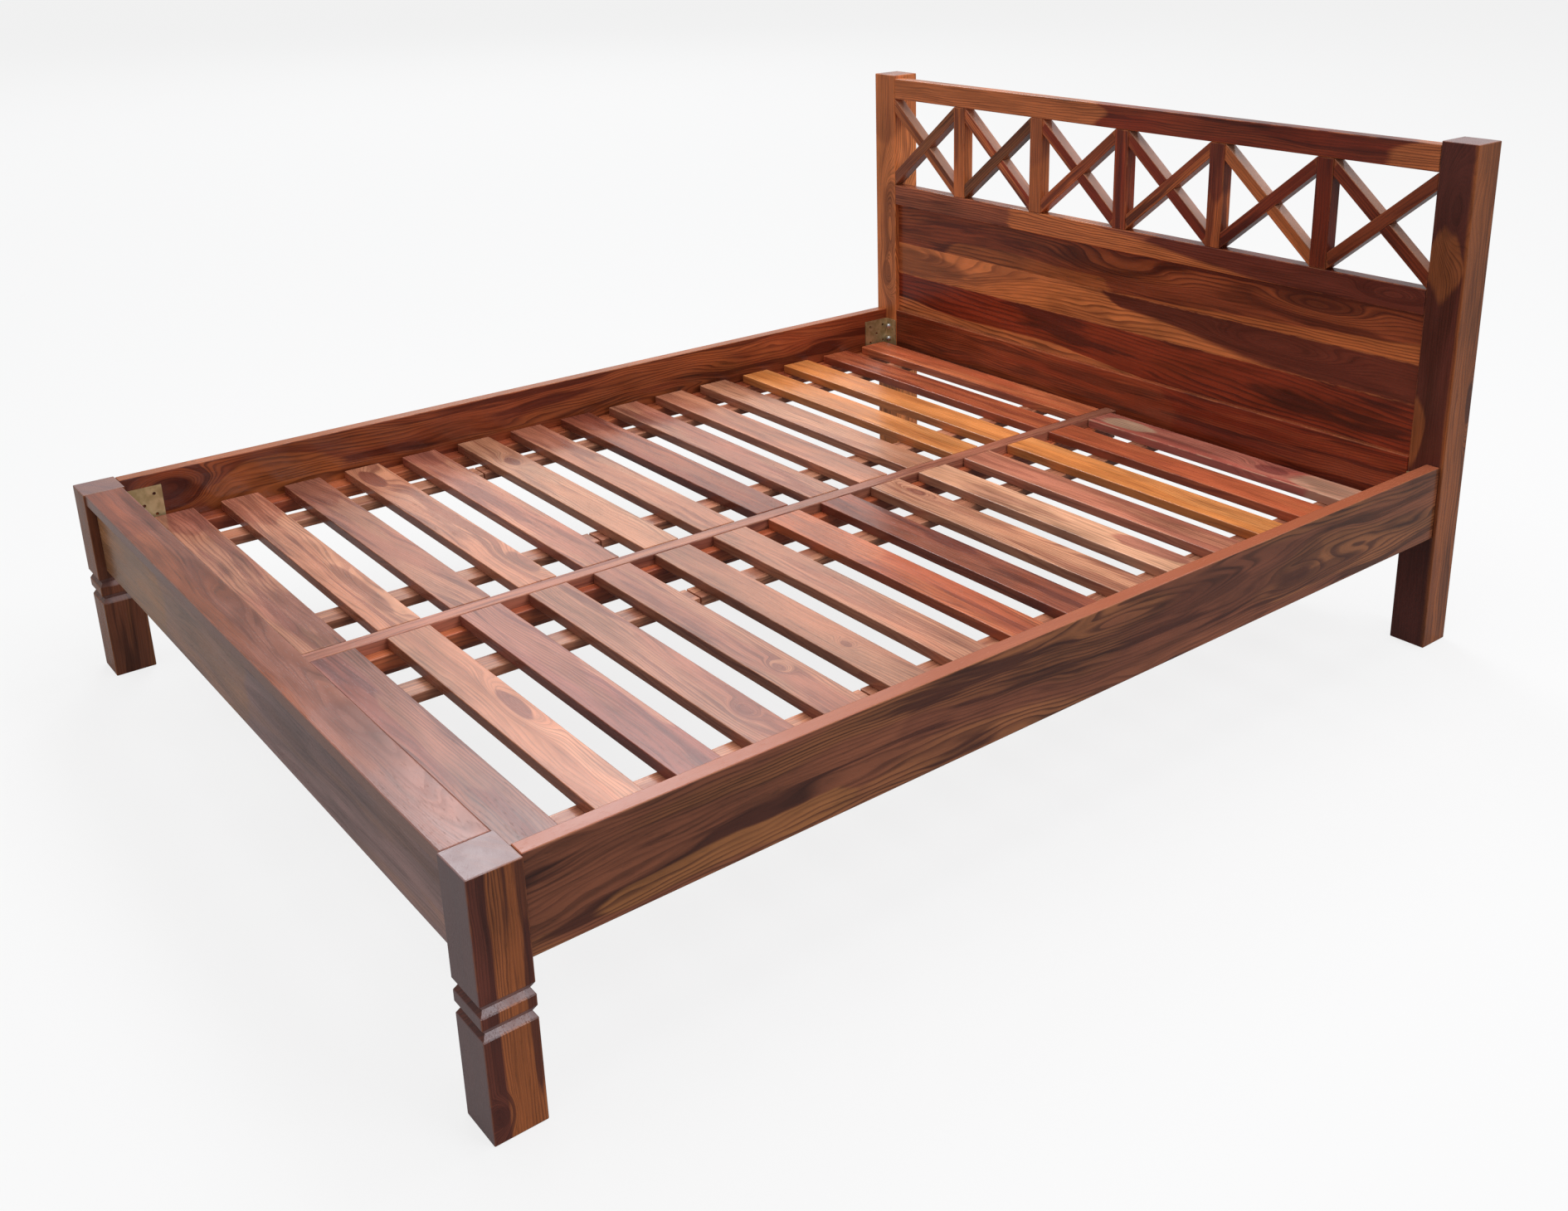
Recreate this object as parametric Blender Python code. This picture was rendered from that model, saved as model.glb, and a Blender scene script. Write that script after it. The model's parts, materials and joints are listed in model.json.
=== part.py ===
"""Double bed with a lattice headboard, a low footboard and lift-out slat panels, in metres.

The origin is on the floor under the middle of the bed. +Y runs from the foot to the head and
+Z is up. Left and right are as seen from the foot, so right is +X.
"""

import math

import bmesh
import bpy
from mathutils import Matrix, Vector

# Corner posts: two short grooved legs at the foot, two tall plain posts at the head
BED_WIDTH = 1.730
BED_LENGTH = 2.160
POST_SIDE = 0.077
POST_ARRIS = 0.002
FOOT_LEG_HEIGHT = 0.393
HEAD_POST_HEIGHT = 1.026
GROOVE_HEIGHT = 0.020
GROOVE_DEPTH = 0.006
GROOVE_COLLAR = 0.015
GROOVE_DROP = 0.180

# Side rails and the ledgers that carry the outer slat ends
RAIL_HEIGHT = 0.151
RAIL_THICKNESS = 0.029
RAIL_INSET = 0.007
LEDGER_WIDTH = 0.045
LEDGER_HEIGHT = 0.029

# Foot end: a board that stands on edge in a groove under a flat cap
CAP_THICKNESS = 0.023
CAP_DEPTH = 0.070
CAP_INSET = 0.003
FOOT_PANEL_HEIGHT = 0.142
FOOT_PANEL_THICKNESS = 0.020
FOOT_PANEL_INSET = 0.017
CAP_GROOVE = 0.006

# Head end: three rails between the posts, a floating panel below and a lattice above
HEAD_RAIL_DEPTH = 0.032
POST_RISE = 0.008
TOP_RAIL_HEIGHT = 0.052
MID_RAIL_HEIGHT = 0.052
LOWER_RAIL_HEIGHT = 0.155
LATTICE_HEIGHT = 0.226
HEAD_PANEL_THICKNESS = 0.012
HEAD_PANEL_INSET = 0.013
PANEL_GROOVE = 0.008
PANEL_FLOAT = 0.001

# Lattice: mullions with a half-lapped cross in each bay between them
MULLION_COUNT = 5
MULLION_WIDTH = 0.039
MULLION_DEPTH = 0.029
MULLION_STUB = 0.010
BAR_UPRIGHT = 0.035
BAR_SEAT = 0.0005
LAP_STEP = 0.0005

# Slat deck: two rows of slats on battens, resting on the side ledgers and the centre beam
SLAT_COUNT = 15
FOOT_PANEL_SLATS = 5
SLAT_WIDTH = 0.078
SLAT_THICKNESS = 0.020
SLAT_DROP = 0.088
SLAT_RAIL_SPACE = 0.011
SLAT_BEAM_SPACE = 0.002
DECK_FOOT_SPACE = 0.0504
DECK_HEAD_SPACE = 0.0206
BATTEN_WIDTH = 0.050
BATTEN_THICKNESS = 0.018
BATTEN_OUTER_INSET = 0.118
BATTEN_INNER_INSET = 0.132
BATTEN_OVERHANG = 0.035
BATTEN_SPLIT = 0.003

# Centre beam and the ledgers that carry the inner slat ends
BEAM_WIDTH = 0.033
BEAM_HEIGHT = 0.069
BEAM_LEDGER_WIDTH = 0.0245
BEAM_STUB = 0.008

# Bent steel corner brackets that hold the side rails to the posts
BRACKET_HEIGHT = 0.076
BRACKET_DROP = 0.026
BRACKET_THICKNESS = 0.003
BRACKET_RAIL_ARM = 0.076
BRACKET_POST_ARM = 0.040
BRACKET_BEND = 0.005
BRACKET_HOLE_SPREAD = 0.022
BRACKET_HOLE_RADIUS = 0.0035
BRACKET_BOLT_RADIUS = 0.004
BRACKET_BOLT_PLACE = 0.013
BRACKET_BOLT_SPREAD = 0.0175
BRACKET_PIN_RADIUS = 0.0022
BRACKET_PIN_PLACE = 0.029
BRACKET_PIN_SPREAD = 0.0095

# Joints and edges
GAP = 0.0003
TENON_LENGTH = 0.028
TENON_SHOULDER = 0.010
FOOT_TENON_LENGTH = 0.016
FOOT_TENON_SHOULDER = 0.005
BEAM_SHOULDER = 0.011
BOARD_EDGE = 0.002
SLAT_EDGE = 0.0015
ROUND_SEGMENTS = 2
HOLE_SIDES = 14

# Wood and metal colours
RED_BROWN = (0.19, 0.066, 0.036)
DARK_BROWN = (0.085, 0.036, 0.024)
OLIVE_BROWN = (0.17, 0.098, 0.058)
PLUM = (0.22, 0.095, 0.075)
ORANGE_TAN = (0.44, 0.19, 0.085)
PEACH = (0.50, 0.26, 0.155)
SLAT_TONES = (RED_BROWN, PLUM, PEACH, ORANGE_TAN, PLUM, ORANGE_TAN, RED_BROWN)
ZINC_YELLOW = (0.55, 0.40, 0.17)

# Planes that several pieces share
POST_OUT_X = BED_WIDTH / 2
POST_IN_X = POST_OUT_X - POST_SIDE
FOOT_OUT_Y = -BED_LENGTH / 2
FOOT_IN_Y = FOOT_OUT_Y + POST_SIDE
HEAD_OUT_Y = BED_LENGTH / 2
HEAD_IN_Y = HEAD_OUT_Y - POST_SIDE
RAIL_TOP = FOOT_LEG_HEIGHT
RAIL_BOTTOM = RAIL_TOP - RAIL_HEIGHT
RAIL_OUT_X = POST_OUT_X - RAIL_INSET
RAIL_IN_X = RAIL_OUT_X - RAIL_THICKNESS
SLAT_TOP = RAIL_TOP - SLAT_DROP
SLAT_BOTTOM = SLAT_TOP - SLAT_THICKNESS
LEDGER_BOTTOM = SLAT_BOTTOM - LEDGER_HEIGHT
SLAT_OUT_X = RAIL_IN_X - SLAT_RAIL_SPACE
SLAT_IN_X = BEAM_WIDTH / 2 + SLAT_BEAM_SPACE
DECK_START = FOOT_IN_Y + DECK_FOOT_SPACE
DECK_END = HEAD_IN_Y - DECK_HEAD_SPACE
SLAT_PITCH = (DECK_END - DECK_START - SLAT_WIDTH) / (SLAT_COUNT - 1)
CAP_BOTTOM = FOOT_LEG_HEIGHT - CAP_THICKNESS
FOOT_PANEL_BOTTOM = CAP_BOTTOM - FOOT_PANEL_HEIGHT
FOOT_PANEL_OUT_Y = FOOT_OUT_Y + FOOT_PANEL_INSET
FOOT_PANEL_IN_Y = FOOT_PANEL_OUT_Y + FOOT_PANEL_THICKNESS
HEAD_RAIL_BACK_Y = HEAD_IN_Y + HEAD_RAIL_DEPTH
TOP_RAIL_TOP = HEAD_POST_HEIGHT - POST_RISE
TOP_RAIL_BOTTOM = TOP_RAIL_TOP - TOP_RAIL_HEIGHT
MID_RAIL_TOP = TOP_RAIL_BOTTOM - LATTICE_HEIGHT
MID_RAIL_BOTTOM = MID_RAIL_TOP - MID_RAIL_HEIGHT
LOWER_RAIL_TOP = RAIL_BOTTOM + LOWER_RAIL_HEIGHT
HEAD_PANEL_FRONT_Y = HEAD_IN_Y + HEAD_PANEL_INSET
HEAD_PANEL_BACK_Y = HEAD_PANEL_FRONT_Y + HEAD_PANEL_THICKNESS
SEAT_X = POST_IN_X - GAP / 2
SEAT_FOOT_Y = FOOT_IN_Y + GAP / 2
SEAT_HEAD_Y = HEAD_IN_Y - GAP / 2
SIDES = {"left": -1, "right": 1}


for old in list(bpy.data.objects):
    bpy.data.objects.remove(old, do_unlink=True)
bed = bpy.data.collections.new("lattice_bed")
cutters = bpy.data.collections.new("cutters")
bpy.context.scene.collection.children.link(bed)
bpy.context.scene.collection.children.link(cutters)


def surface(name, colour, roughness=0.38, metallic=0.0):
    """One Principled material, named for the piece that wears it."""
    material = bpy.data.materials.new(name)
    material.use_nodes = True
    shader = material.node_tree.nodes["Principled BSDF"]
    shader.inputs["Base Color"].default_value = (*colour, 1.0)
    shader.inputs["Roughness"].default_value = roughness
    shader.inputs["Metallic"].default_value = metallic
    return material


def add_object(name, solid, place, collection):
    """Turn a bmesh into a linked object at a place."""
    mesh = bpy.data.meshes.new(name)
    solid.to_mesh(mesh)
    solid.free()
    obj = bpy.data.objects.new(name, mesh)
    obj.location = place
    collection.objects.link(obj)
    return obj


def add_part(name, solid, place, colour, carrier=None, **finish):
    """A visible piece; one with a carrier is placed relative to that empty."""
    start = carrier.location if carrier else Vector((0.0, 0.0, 0.0))
    obj = add_object(name, solid, Vector(place) - start, bed)
    obj.parent = carrier
    obj.data.materials.append(surface(name, colour, **finish))
    return obj


def add_cutter(name, solid, place=(0.0, 0.0, 0.0)):
    """A hidden piece that only shapes others."""
    obj = add_object(name, solid, place, cutters)
    obj.hide_render = True
    obj.display_type = "WIRE"
    return obj


def combine(target, tool, operation):
    """Cut a tool out of a piece, or join it on."""
    step = target.modifiers.new(tool.name, "BOOLEAN")
    step.operation = operation
    step.solver = "EXACT"
    step.object = tool


def box(size, edge=0.0, segments=ROUND_SEGMENTS):
    """A box about the origin, with every edge rounded when an edge radius is given."""
    solid = bmesh.new()
    bmesh.ops.create_cube(solid, size=1.0, matrix=Matrix.Diagonal((*size, 1.0)))
    if edge > 0.0:
        bmesh.ops.bevel(solid, geom=solid.edges[:], offset=edge, segments=segments,
                        profile=0.5, affect="EDGES", clamp_overlap=True)
    return solid


def span(low, high):
    """The size and the middle of the box between two corners."""
    size = [top - bottom for bottom, top in zip(low, high)]
    middle = [(top + bottom) / 2 for bottom, top in zip(low, high)]
    return size, middle


def cut_pocket(target, name, low, high):
    """Cut the box between two corners out of a piece."""
    size, middle = span(low, high)
    combine(target, add_cutter(f"{target.name}_{name}", box(size), middle), "DIFFERENCE")


def raise_tenon(solid, direction, shoulder, length, edge):
    """Inset the end face that looks along a direction, and pull it out as a tenon."""
    along = Vector(direction)
    facing = [face for face in solid.faces if face.normal.dot(along) > 0.999]
    end = max(facing, key=lambda face: face.calc_center_median().dot(along))
    bmesh.ops.inset_region(solid, faces=[end], thickness=shoulder - edge, use_even_offset=True)
    pulled = bmesh.ops.extrude_discrete_faces(solid, faces=[end])["faces"][0]
    bmesh.ops.translate(solid, vec=along * length, verts=pulled.verts[:])


def board(name, low, high, colour, edge=BOARD_EDGE, carrier=None):
    """A plain board with softened edges, kept a gap short of both corners given."""
    inset_low = [value + GAP / 2 for value in low]
    inset_high = [value - GAP / 2 for value in high]
    size, middle = span(inset_low, inset_high)
    return add_part(name, box(size, edge), middle, colour, carrier)


def tenoned_board(name, low, high, ways, shoulder, length, colour):
    """A board with a tenon at each of the ends named by the directions."""
    inset_low = [value + GAP / 2 for value in low]
    inset_high = [value - GAP / 2 for value in high]
    size, middle = span(inset_low, inset_high)
    solid = box(size, BOARD_EDGE)
    for way in ways:
        raise_tenon(solid, way, shoulder, length, BOARD_EDGE)
    return add_part(name, solid, middle, colour)


def cross_tenons(posts, name, low, high, shoulder, length):
    """Mortises in a pair of posts for the tenons of a board that runs across the bed."""
    reach = length + GAP
    for side, post in posts.items():
        sign = SIDES[side]
        near = sign * (POST_IN_X - POST_ARRIS)
        deep = sign * (POST_IN_X + reach)
        pocket_low = (min(near, deep), low[1] + shoulder - GAP, low[2] + shoulder - GAP)
        pocket_high = (max(near, deep), high[1] - shoulder + GAP, high[2] - shoulder + GAP)
        cut_pocket(post, name, pocket_low, pocket_high)


def groove_ring(name, top):
    """A V-shaped ring turned in four steps, which cuts one groove round a square leg."""
    outside = POST_SIDE / 2 + GROOVE_DEPTH
    overcut = GROOVE_HEIGHT * (outside - POST_SIDE / 2 + GROOVE_DEPTH) / (2 * GROOVE_DEPTH)
    middle = top - GROOVE_HEIGHT / 2
    profile = (
        (outside, middle + overcut),
        (outside, middle - overcut),
        (POST_SIDE / 2 - GROOVE_DEPTH, middle),
    )
    solid = bmesh.new()
    corners = [solid.verts.new((reach, reach, height)) for reach, height in profile]
    edges = [solid.edges.new((corners[i - 1], corners[i])) for i in range(len(corners))]
    bmesh.ops.spin(solid, geom=corners + edges, cent=(0, 0, 0), axis=(0, 0, 1),
                   angle=math.tau, steps=4, use_merge=True)
    bmesh.ops.remove_doubles(solid, verts=solid.verts[:], dist=0.00001)
    bmesh.ops.recalc_face_normals(solid, faces=solid.faces[:])
    return add_cutter(name, solid)


def post_at(name, side, middle_y, height, colour):
    """A square post standing on the floor, with rounded arrises."""
    place = (SIDES[side] * (POST_OUT_X - POST_SIDE / 2), middle_y, height / 2)
    return add_part(name, box((POST_SIDE, POST_SIDE, height), POST_ARRIS, 3), place, colour)


def make_foot_legs():
    """The two short legs, each with a pair of V grooves round a square collar."""
    legs = {}
    for side in SIDES:
        leg = post_at(f"foot_leg_{side}", side, FOOT_OUT_Y + POST_SIDE / 2,
                      FOOT_LEG_HEIGHT, OLIVE_BROWN)
        for level in range(2):
            top = FOOT_LEG_HEIGHT - GROOVE_DROP - level * (GROOVE_HEIGHT + GROOVE_COLLAR)
            ring = groove_ring(f"{leg.name}_groove_{level}", top)
            ring.location = (leg.location.x, leg.location.y, 0.0)
            combine(leg, ring, "DIFFERENCE")
        legs[side] = leg
    return legs


def make_foot_end(legs):
    """The footboard panel and its cap, tenoned into the legs."""
    cap_low = (-SEAT_X, FOOT_OUT_Y + CAP_INSET, CAP_BOTTOM)
    cap_high = (SEAT_X, FOOT_OUT_Y + CAP_INSET + CAP_DEPTH, FOOT_LEG_HEIGHT)
    panel_low = (-SEAT_X, FOOT_PANEL_OUT_Y, FOOT_PANEL_BOTTOM)
    panel_high = (SEAT_X, FOOT_PANEL_IN_Y, CAP_BOTTOM + CAP_GROOVE)
    ways = ((1, 0, 0), (-1, 0, 0))
    fit = (FOOT_TENON_SHOULDER, FOOT_TENON_LENGTH)
    cap = tenoned_board("foot_cap", cap_low, cap_high, ways, *fit, RED_BROWN)
    groove_low = (-POST_IN_X - GAP, FOOT_PANEL_OUT_Y - GAP, CAP_BOTTOM - CAP_GROOVE)
    groove_high = (POST_IN_X + GAP, FOOT_PANEL_IN_Y + GAP, CAP_BOTTOM + CAP_GROOVE + GAP)
    cut_pocket(cap, "groove", groove_low, groove_high)
    panel = tenoned_board("foot_panel", panel_low, panel_high, ways, *fit, OLIVE_BROWN)
    cross_tenons(legs, "cap_mortise", cap_low, cap_high, *fit)
    cross_tenons(legs, "panel_mortise", panel_low, panel_high, *fit)
    return panel


def make_head_frame():
    """The tall posts, the three rails tenoned into them and the panel floating in grooves."""
    posts = {}
    for side in SIDES:
        posts[side] = post_at(f"head_post_{side}", side, HEAD_OUT_Y - POST_SIDE / 2,
                              HEAD_POST_HEIGHT, DARK_BROWN)
    heights = {
        "top": (TOP_RAIL_BOTTOM, TOP_RAIL_TOP),
        "mid": (MID_RAIL_BOTTOM, MID_RAIL_TOP),
        "lower": (RAIL_BOTTOM, LOWER_RAIL_TOP),
    }
    rails = {}
    for name, (bottom, top) in heights.items():
        low = (-SEAT_X, HEAD_IN_Y, bottom)
        high = (SEAT_X, HEAD_RAIL_BACK_Y, top)
        ways = ((1, 0, 0), (-1, 0, 0))
        rails[name] = tenoned_board(f"head_{name}_rail", low, high, ways,
                                    TENON_SHOULDER, TENON_LENGTH, RED_BROWN)
        cross_tenons(posts, f"{name}_mortise", low, high, TENON_SHOULDER, TENON_LENGTH)
    reach = PANEL_GROOVE - PANEL_FLOAT
    panel_low = (-POST_IN_X - reach, HEAD_PANEL_FRONT_Y, LOWER_RAIL_TOP - reach)
    panel_high = (POST_IN_X + reach, HEAD_PANEL_BACK_Y, MID_RAIL_BOTTOM + reach)
    board("head_panel", panel_low, panel_high, RED_BROWN, SLAT_EDGE)
    groove_low = (-POST_IN_X - PANEL_GROOVE, HEAD_PANEL_FRONT_Y - GAP,
                  LOWER_RAIL_TOP - PANEL_GROOVE)
    groove_high = (POST_IN_X + PANEL_GROOVE, HEAD_PANEL_BACK_Y + GAP,
                   MID_RAIL_BOTTOM + PANEL_GROOVE)
    for piece in (rails["mid"], rails["lower"], *posts.values()):
        cut_pocket(piece, "panel_groove", groove_low, groove_high)
    return rails


def lattice_bays():
    """The left and right edge of each bay, from post to mullion to post."""
    bay = (2 * POST_IN_X - MULLION_COUNT * MULLION_WIDTH) / (MULLION_COUNT + 1)
    edges = []
    for index in range(MULLION_COUNT + 1):
        left = -POST_IN_X + index * (bay + MULLION_WIDTH)
        edges.append((left, left + bay))
    return edges


def slanted_bar(left, right, rising, depth):
    """A bar whose upright ends stand in opposite corners of a bay, as a sheared box."""
    height = LATTICE_HEIGHT - 2 * GAP
    slope = (height - BAR_UPRIGHT) / (right - left)
    solid = box((right - left, depth, BAR_UPRIGHT))
    shear = Matrix.Identity(4)
    shear[2][0] = slope if rising else -slope
    bmesh.ops.transform(solid, matrix=shear, verts=solid.verts[:])
    return solid


def make_lattice(rails):
    """Mullions stub-tenoned between two rails, with a cross lapped into each bay."""
    bays = lattice_bays()
    base = TOP_RAIL_BOTTOM - LATTICE_HEIGHT / 2
    middle_y = HEAD_IN_Y + MULLION_DEPTH / 2
    lattice = None
    for index, (_, right) in enumerate(bays[:-1]):
        solid = box((MULLION_WIDTH, MULLION_DEPTH, LATTICE_HEIGHT - 2 * GAP))
        for way in ((0, 0, 1), (0, 0, -1)):
            raise_tenon(solid, way, TENON_SHOULDER, MULLION_STUB, 0.0)
        place = (right + MULLION_WIDTH / 2, middle_y, base)
        if lattice is None:
            lattice = add_part("head_lattice", solid, place, RED_BROWN)
        else:
            combine(lattice, add_cutter(f"mullion_{index}", solid, place), "UNION")
        half_width = MULLION_WIDTH / 2 - TENON_SHOULDER + GAP
        half_depth = MULLION_DEPTH / 2 - TENON_SHOULDER + GAP
        reach = LATTICE_HEIGHT / 2 + MULLION_STUB + GAP
        low = (place[0] - half_width, middle_y - half_depth, base - reach)
        high = (place[0] + half_width, middle_y + half_depth, base + reach)
        for name in ("top", "mid"):
            cut_pocket(rails[name], f"mullion_mortise_{index}", low, high)
    for index, (left, right) in enumerate(bays):
        start = left + GAP if index == 0 else left - BAR_SEAT
        end = right - GAP if index == MULLION_COUNT else right + BAR_SEAT
        for rising in (True, False):
            depth = MULLION_DEPTH - (2 if rising else 4) * LAP_STEP
            kind = "rising" if rising else "falling"
            bar = add_cutter(f"bar_{kind}_{index}", slanted_bar(start, end, rising, depth))
            bar.location = ((start + end) / 2, middle_y, base)
            combine(lattice, bar, "UNION")


def make_side_rails():
    """The long rails that butt against the posts, each with a ledger along its inner face."""
    for side, sign in SIDES.items():
        rail_x = sorted((sign * RAIL_IN_X, sign * RAIL_OUT_X))
        low = (rail_x[0], SEAT_FOOT_Y, RAIL_BOTTOM)
        high = (rail_x[1], SEAT_HEAD_Y, RAIL_TOP)
        board(f"side_rail_{side}", low, high, RED_BROWN)
        ledger_x = sorted((sign * RAIL_IN_X, sign * (RAIL_IN_X - LEDGER_WIDTH)))
        low = (ledger_x[0], SEAT_FOOT_Y, LEDGER_BOTTOM)
        high = (ledger_x[1], SEAT_HEAD_Y, SLAT_BOTTOM)
        board(f"side_ledger_{side}", low, high, PLUM)


def make_centre_beam(foot_panel, lower_rail):
    """The beam down the middle, stubbed into both ends, with a ledger on each flank."""
    low = (-BEAM_WIDTH / 2, FOOT_PANEL_IN_Y, SLAT_TOP - BEAM_HEIGHT)
    high = (BEAM_WIDTH / 2, HEAD_IN_Y, SLAT_TOP)
    ways = ((0, 1, 0), (0, -1, 0))
    tenoned_board("centre_beam", low, high, ways, BEAM_SHOULDER, BEAM_STUB, ORANGE_TAN)
    inward = BEAM_SHOULDER - GAP
    outward = BEAM_STUB + GAP
    pocket_low = (low[0] + inward, low[1] - outward, low[2] + inward)
    pocket_high = (high[0] - inward, high[1] + outward, high[2] - inward)
    cut_pocket(foot_panel, "beam_mortise", pocket_low, pocket_high)
    cut_pocket(lower_rail, "beam_mortise", pocket_low, pocket_high)
    for side, sign in SIDES.items():
        ledger_x = sorted((sign * BEAM_WIDTH / 2, sign * (BEAM_WIDTH / 2 + BEAM_LEDGER_WIDTH)))
        ledger_low = (ledger_x[0], FOOT_IN_Y, LEDGER_BOTTOM)
        ledger_high = (ledger_x[1], HEAD_IN_Y, SLAT_BOTTOM)
        board(f"beam_ledger_{side}", ledger_low, ledger_high, PLUM)


def slat_start(index):
    """The foot-side edge of a slat, counted from the foot."""
    return DECK_START + index * SLAT_PITCH


def make_slat_panel(side, part, first, last):
    """Slats nailed to two battens, lifting out as one panel on its own empty."""
    sign = SIDES[side]
    start = slat_start(first)
    end = slat_start(last) + SLAT_WIDTH
    lift = bpy.data.objects.new(f"panel_{side}_{part}_lift", None)
    lift.location = (sign * (SLAT_IN_X + SLAT_OUT_X) / 2, (start + end) / 2, SLAT_BOTTOM)
    bed.objects.link(lift)
    slat_x = sorted((sign * SLAT_IN_X, sign * SLAT_OUT_X))
    for index in range(first, last + 1):
        tone = SLAT_TONES[(index + (sign > 0) * 3) % len(SLAT_TONES)]
        low = (slat_x[0], slat_start(index), SLAT_BOTTOM)
        high = (slat_x[1], slat_start(index) + SLAT_WIDTH, SLAT_TOP)
        board(f"slat_{side}_{index + 1:02d}", low, high, tone, SLAT_EDGE, lift)
    split = slat_start(FOOT_PANEL_SLATS - 1) + SLAT_WIDTH + BATTEN_OVERHANG
    batten_y = (start, split) if part == "foot" else (split + BATTEN_SPLIT, end)
    outer = SLAT_OUT_X - BATTEN_OUTER_INSET
    inner = SLAT_IN_X + BATTEN_INNER_INSET
    for name, edge in (("outer", outer), ("inner", inner + BATTEN_WIDTH)):
        batten_x = sorted((sign * edge, sign * (edge - BATTEN_WIDTH)))
        low = (batten_x[0], batten_y[0], SLAT_BOTTOM - BATTEN_THICKNESS)
        high = (batten_x[1], batten_y[1], SLAT_BOTTOM)
        board(f"batten_{side}_{part}_{name}", low, high, ORANGE_TAN, SLAT_EDGE, lift)


def bracket_outline():
    """The bent strip seen from above, as points: x from the rail face, y from the post face."""
    turns = [math.radians(90 * step / 4) for step in range(5)]
    inner_bend = BRACKET_BEND - BRACKET_THICKNESS
    points = [(0.0, BRACKET_RAIL_ARM)]
    for turn in turns:
        points.append((BRACKET_BEND * (1 - math.cos(turn)), BRACKET_BEND * (1 - math.sin(turn))))
    points.append((BRACKET_POST_ARM, 0.0))
    points.append((BRACKET_POST_ARM, BRACKET_THICKNESS))
    for turn in reversed(turns):
        points.append((BRACKET_BEND - inner_bend * math.cos(turn),
                       BRACKET_BEND - inner_bend * math.sin(turn)))
    points.append((BRACKET_THICKNESS, BRACKET_RAIL_ARM))
    return points


def add_hole(solid, radius, place, along_x):
    """A short cylinder through one arm of a bracket."""
    turn = Matrix.Rotation(math.pi / 2, 4, "Y" if along_x else "X")
    bmesh.ops.create_cone(solid, cap_ends=True, segments=HOLE_SIDES, radius1=radius, radius2=radius,
                          depth=4 * BRACKET_THICKNESS, matrix=Matrix.Translation(place) @ turn)


def make_bracket(name, x_sign, y_sign):
    """One corner bracket: a bent strip with screw holes on the rail and bolt holes on the post."""
    solid = bmesh.new()
    outline = [solid.verts.new((x, y, -BRACKET_HEIGHT / 2)) for x, y in bracket_outline()]
    face = solid.faces.new(outline)
    raised = bmesh.ops.extrude_face_region(solid, geom=[face])["geom"]
    top = [item for item in raised if isinstance(item, bmesh.types.BMVert)]
    bmesh.ops.translate(solid, vec=(0, 0, BRACKET_HEIGHT), verts=top)
    holes = bmesh.new()
    rail_middle = BRACKET_RAIL_ARM / 2
    spread = BRACKET_HOLE_SPREAD
    corners = [(y, z) for y in (-spread, spread) for z in (-spread, spread)]
    for y, z in ((0, 0), *corners):
        add_hole(holes, BRACKET_HOLE_RADIUS, (BRACKET_THICKNESS / 2, rail_middle + y, z), True)
    bolts = (BRACKET_BOLT_PLACE, BRACKET_BOLT_SPREAD, BRACKET_BOLT_RADIUS)
    pins = (BRACKET_PIN_PLACE, BRACKET_PIN_SPREAD, BRACKET_PIN_RADIUS)
    for x, lift, radius in (bolts, pins):
        for z in (-lift, lift):
            add_hole(holes, radius, (x, BRACKET_THICKNESS / 2, z), False)
    flip = Matrix.Diagonal((-x_sign, -y_sign, 1.0, 1.0))
    for piece in (solid, holes):
        bmesh.ops.transform(piece, matrix=flip, verts=piece.verts[:])
        bmesh.ops.recalc_face_normals(piece, faces=piece.faces[:])
    corner_y = HEAD_IN_Y if y_sign > 0 else -FOOT_IN_Y
    middle_z = RAIL_TOP - BRACKET_DROP - BRACKET_HEIGHT / 2
    place = (x_sign * (RAIL_IN_X - GAP), y_sign * (corner_y - GAP), middle_z)
    bracket = add_part(name, solid, place, ZINC_YELLOW, roughness=0.3, metallic=1.0)
    combine(bracket, add_cutter(f"{name}_holes", holes, place), "DIFFERENCE")


foot_legs = make_foot_legs()
foot_board = make_foot_end(foot_legs)
head_rails = make_head_frame()
make_lattice(head_rails)
make_side_rails()
make_centre_beam(foot_board, head_rails["lower"])
for side_name, side_sign in SIDES.items():
    make_slat_panel(side_name, "foot", 0, FOOT_PANEL_SLATS - 1)
    make_slat_panel(side_name, "head", FOOT_PANEL_SLATS, SLAT_COUNT - 1)
    make_bracket(f"corner_bracket_foot_{side_name}", side_sign, -1)
    make_bracket(f"corner_bracket_head_{side_name}", side_sign, 1)
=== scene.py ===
# %% [markdown]
# # A slatted double bed with a latticed headboard
#
# The solids of this bed come ready made from its CAD model. This lesson gives them their looks:
# a photographer's view, soft studio light, and lacquered sheesham wood in which every board has
# its own tone and figure. A few small pieces that the solids only suggest, such as the separate
# sticks of the lattice and the bolts in the corner plates, are modelled here as well.

import json
import math

import bmesh
import bpy
from mathutils import Matrix, Vector


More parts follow.
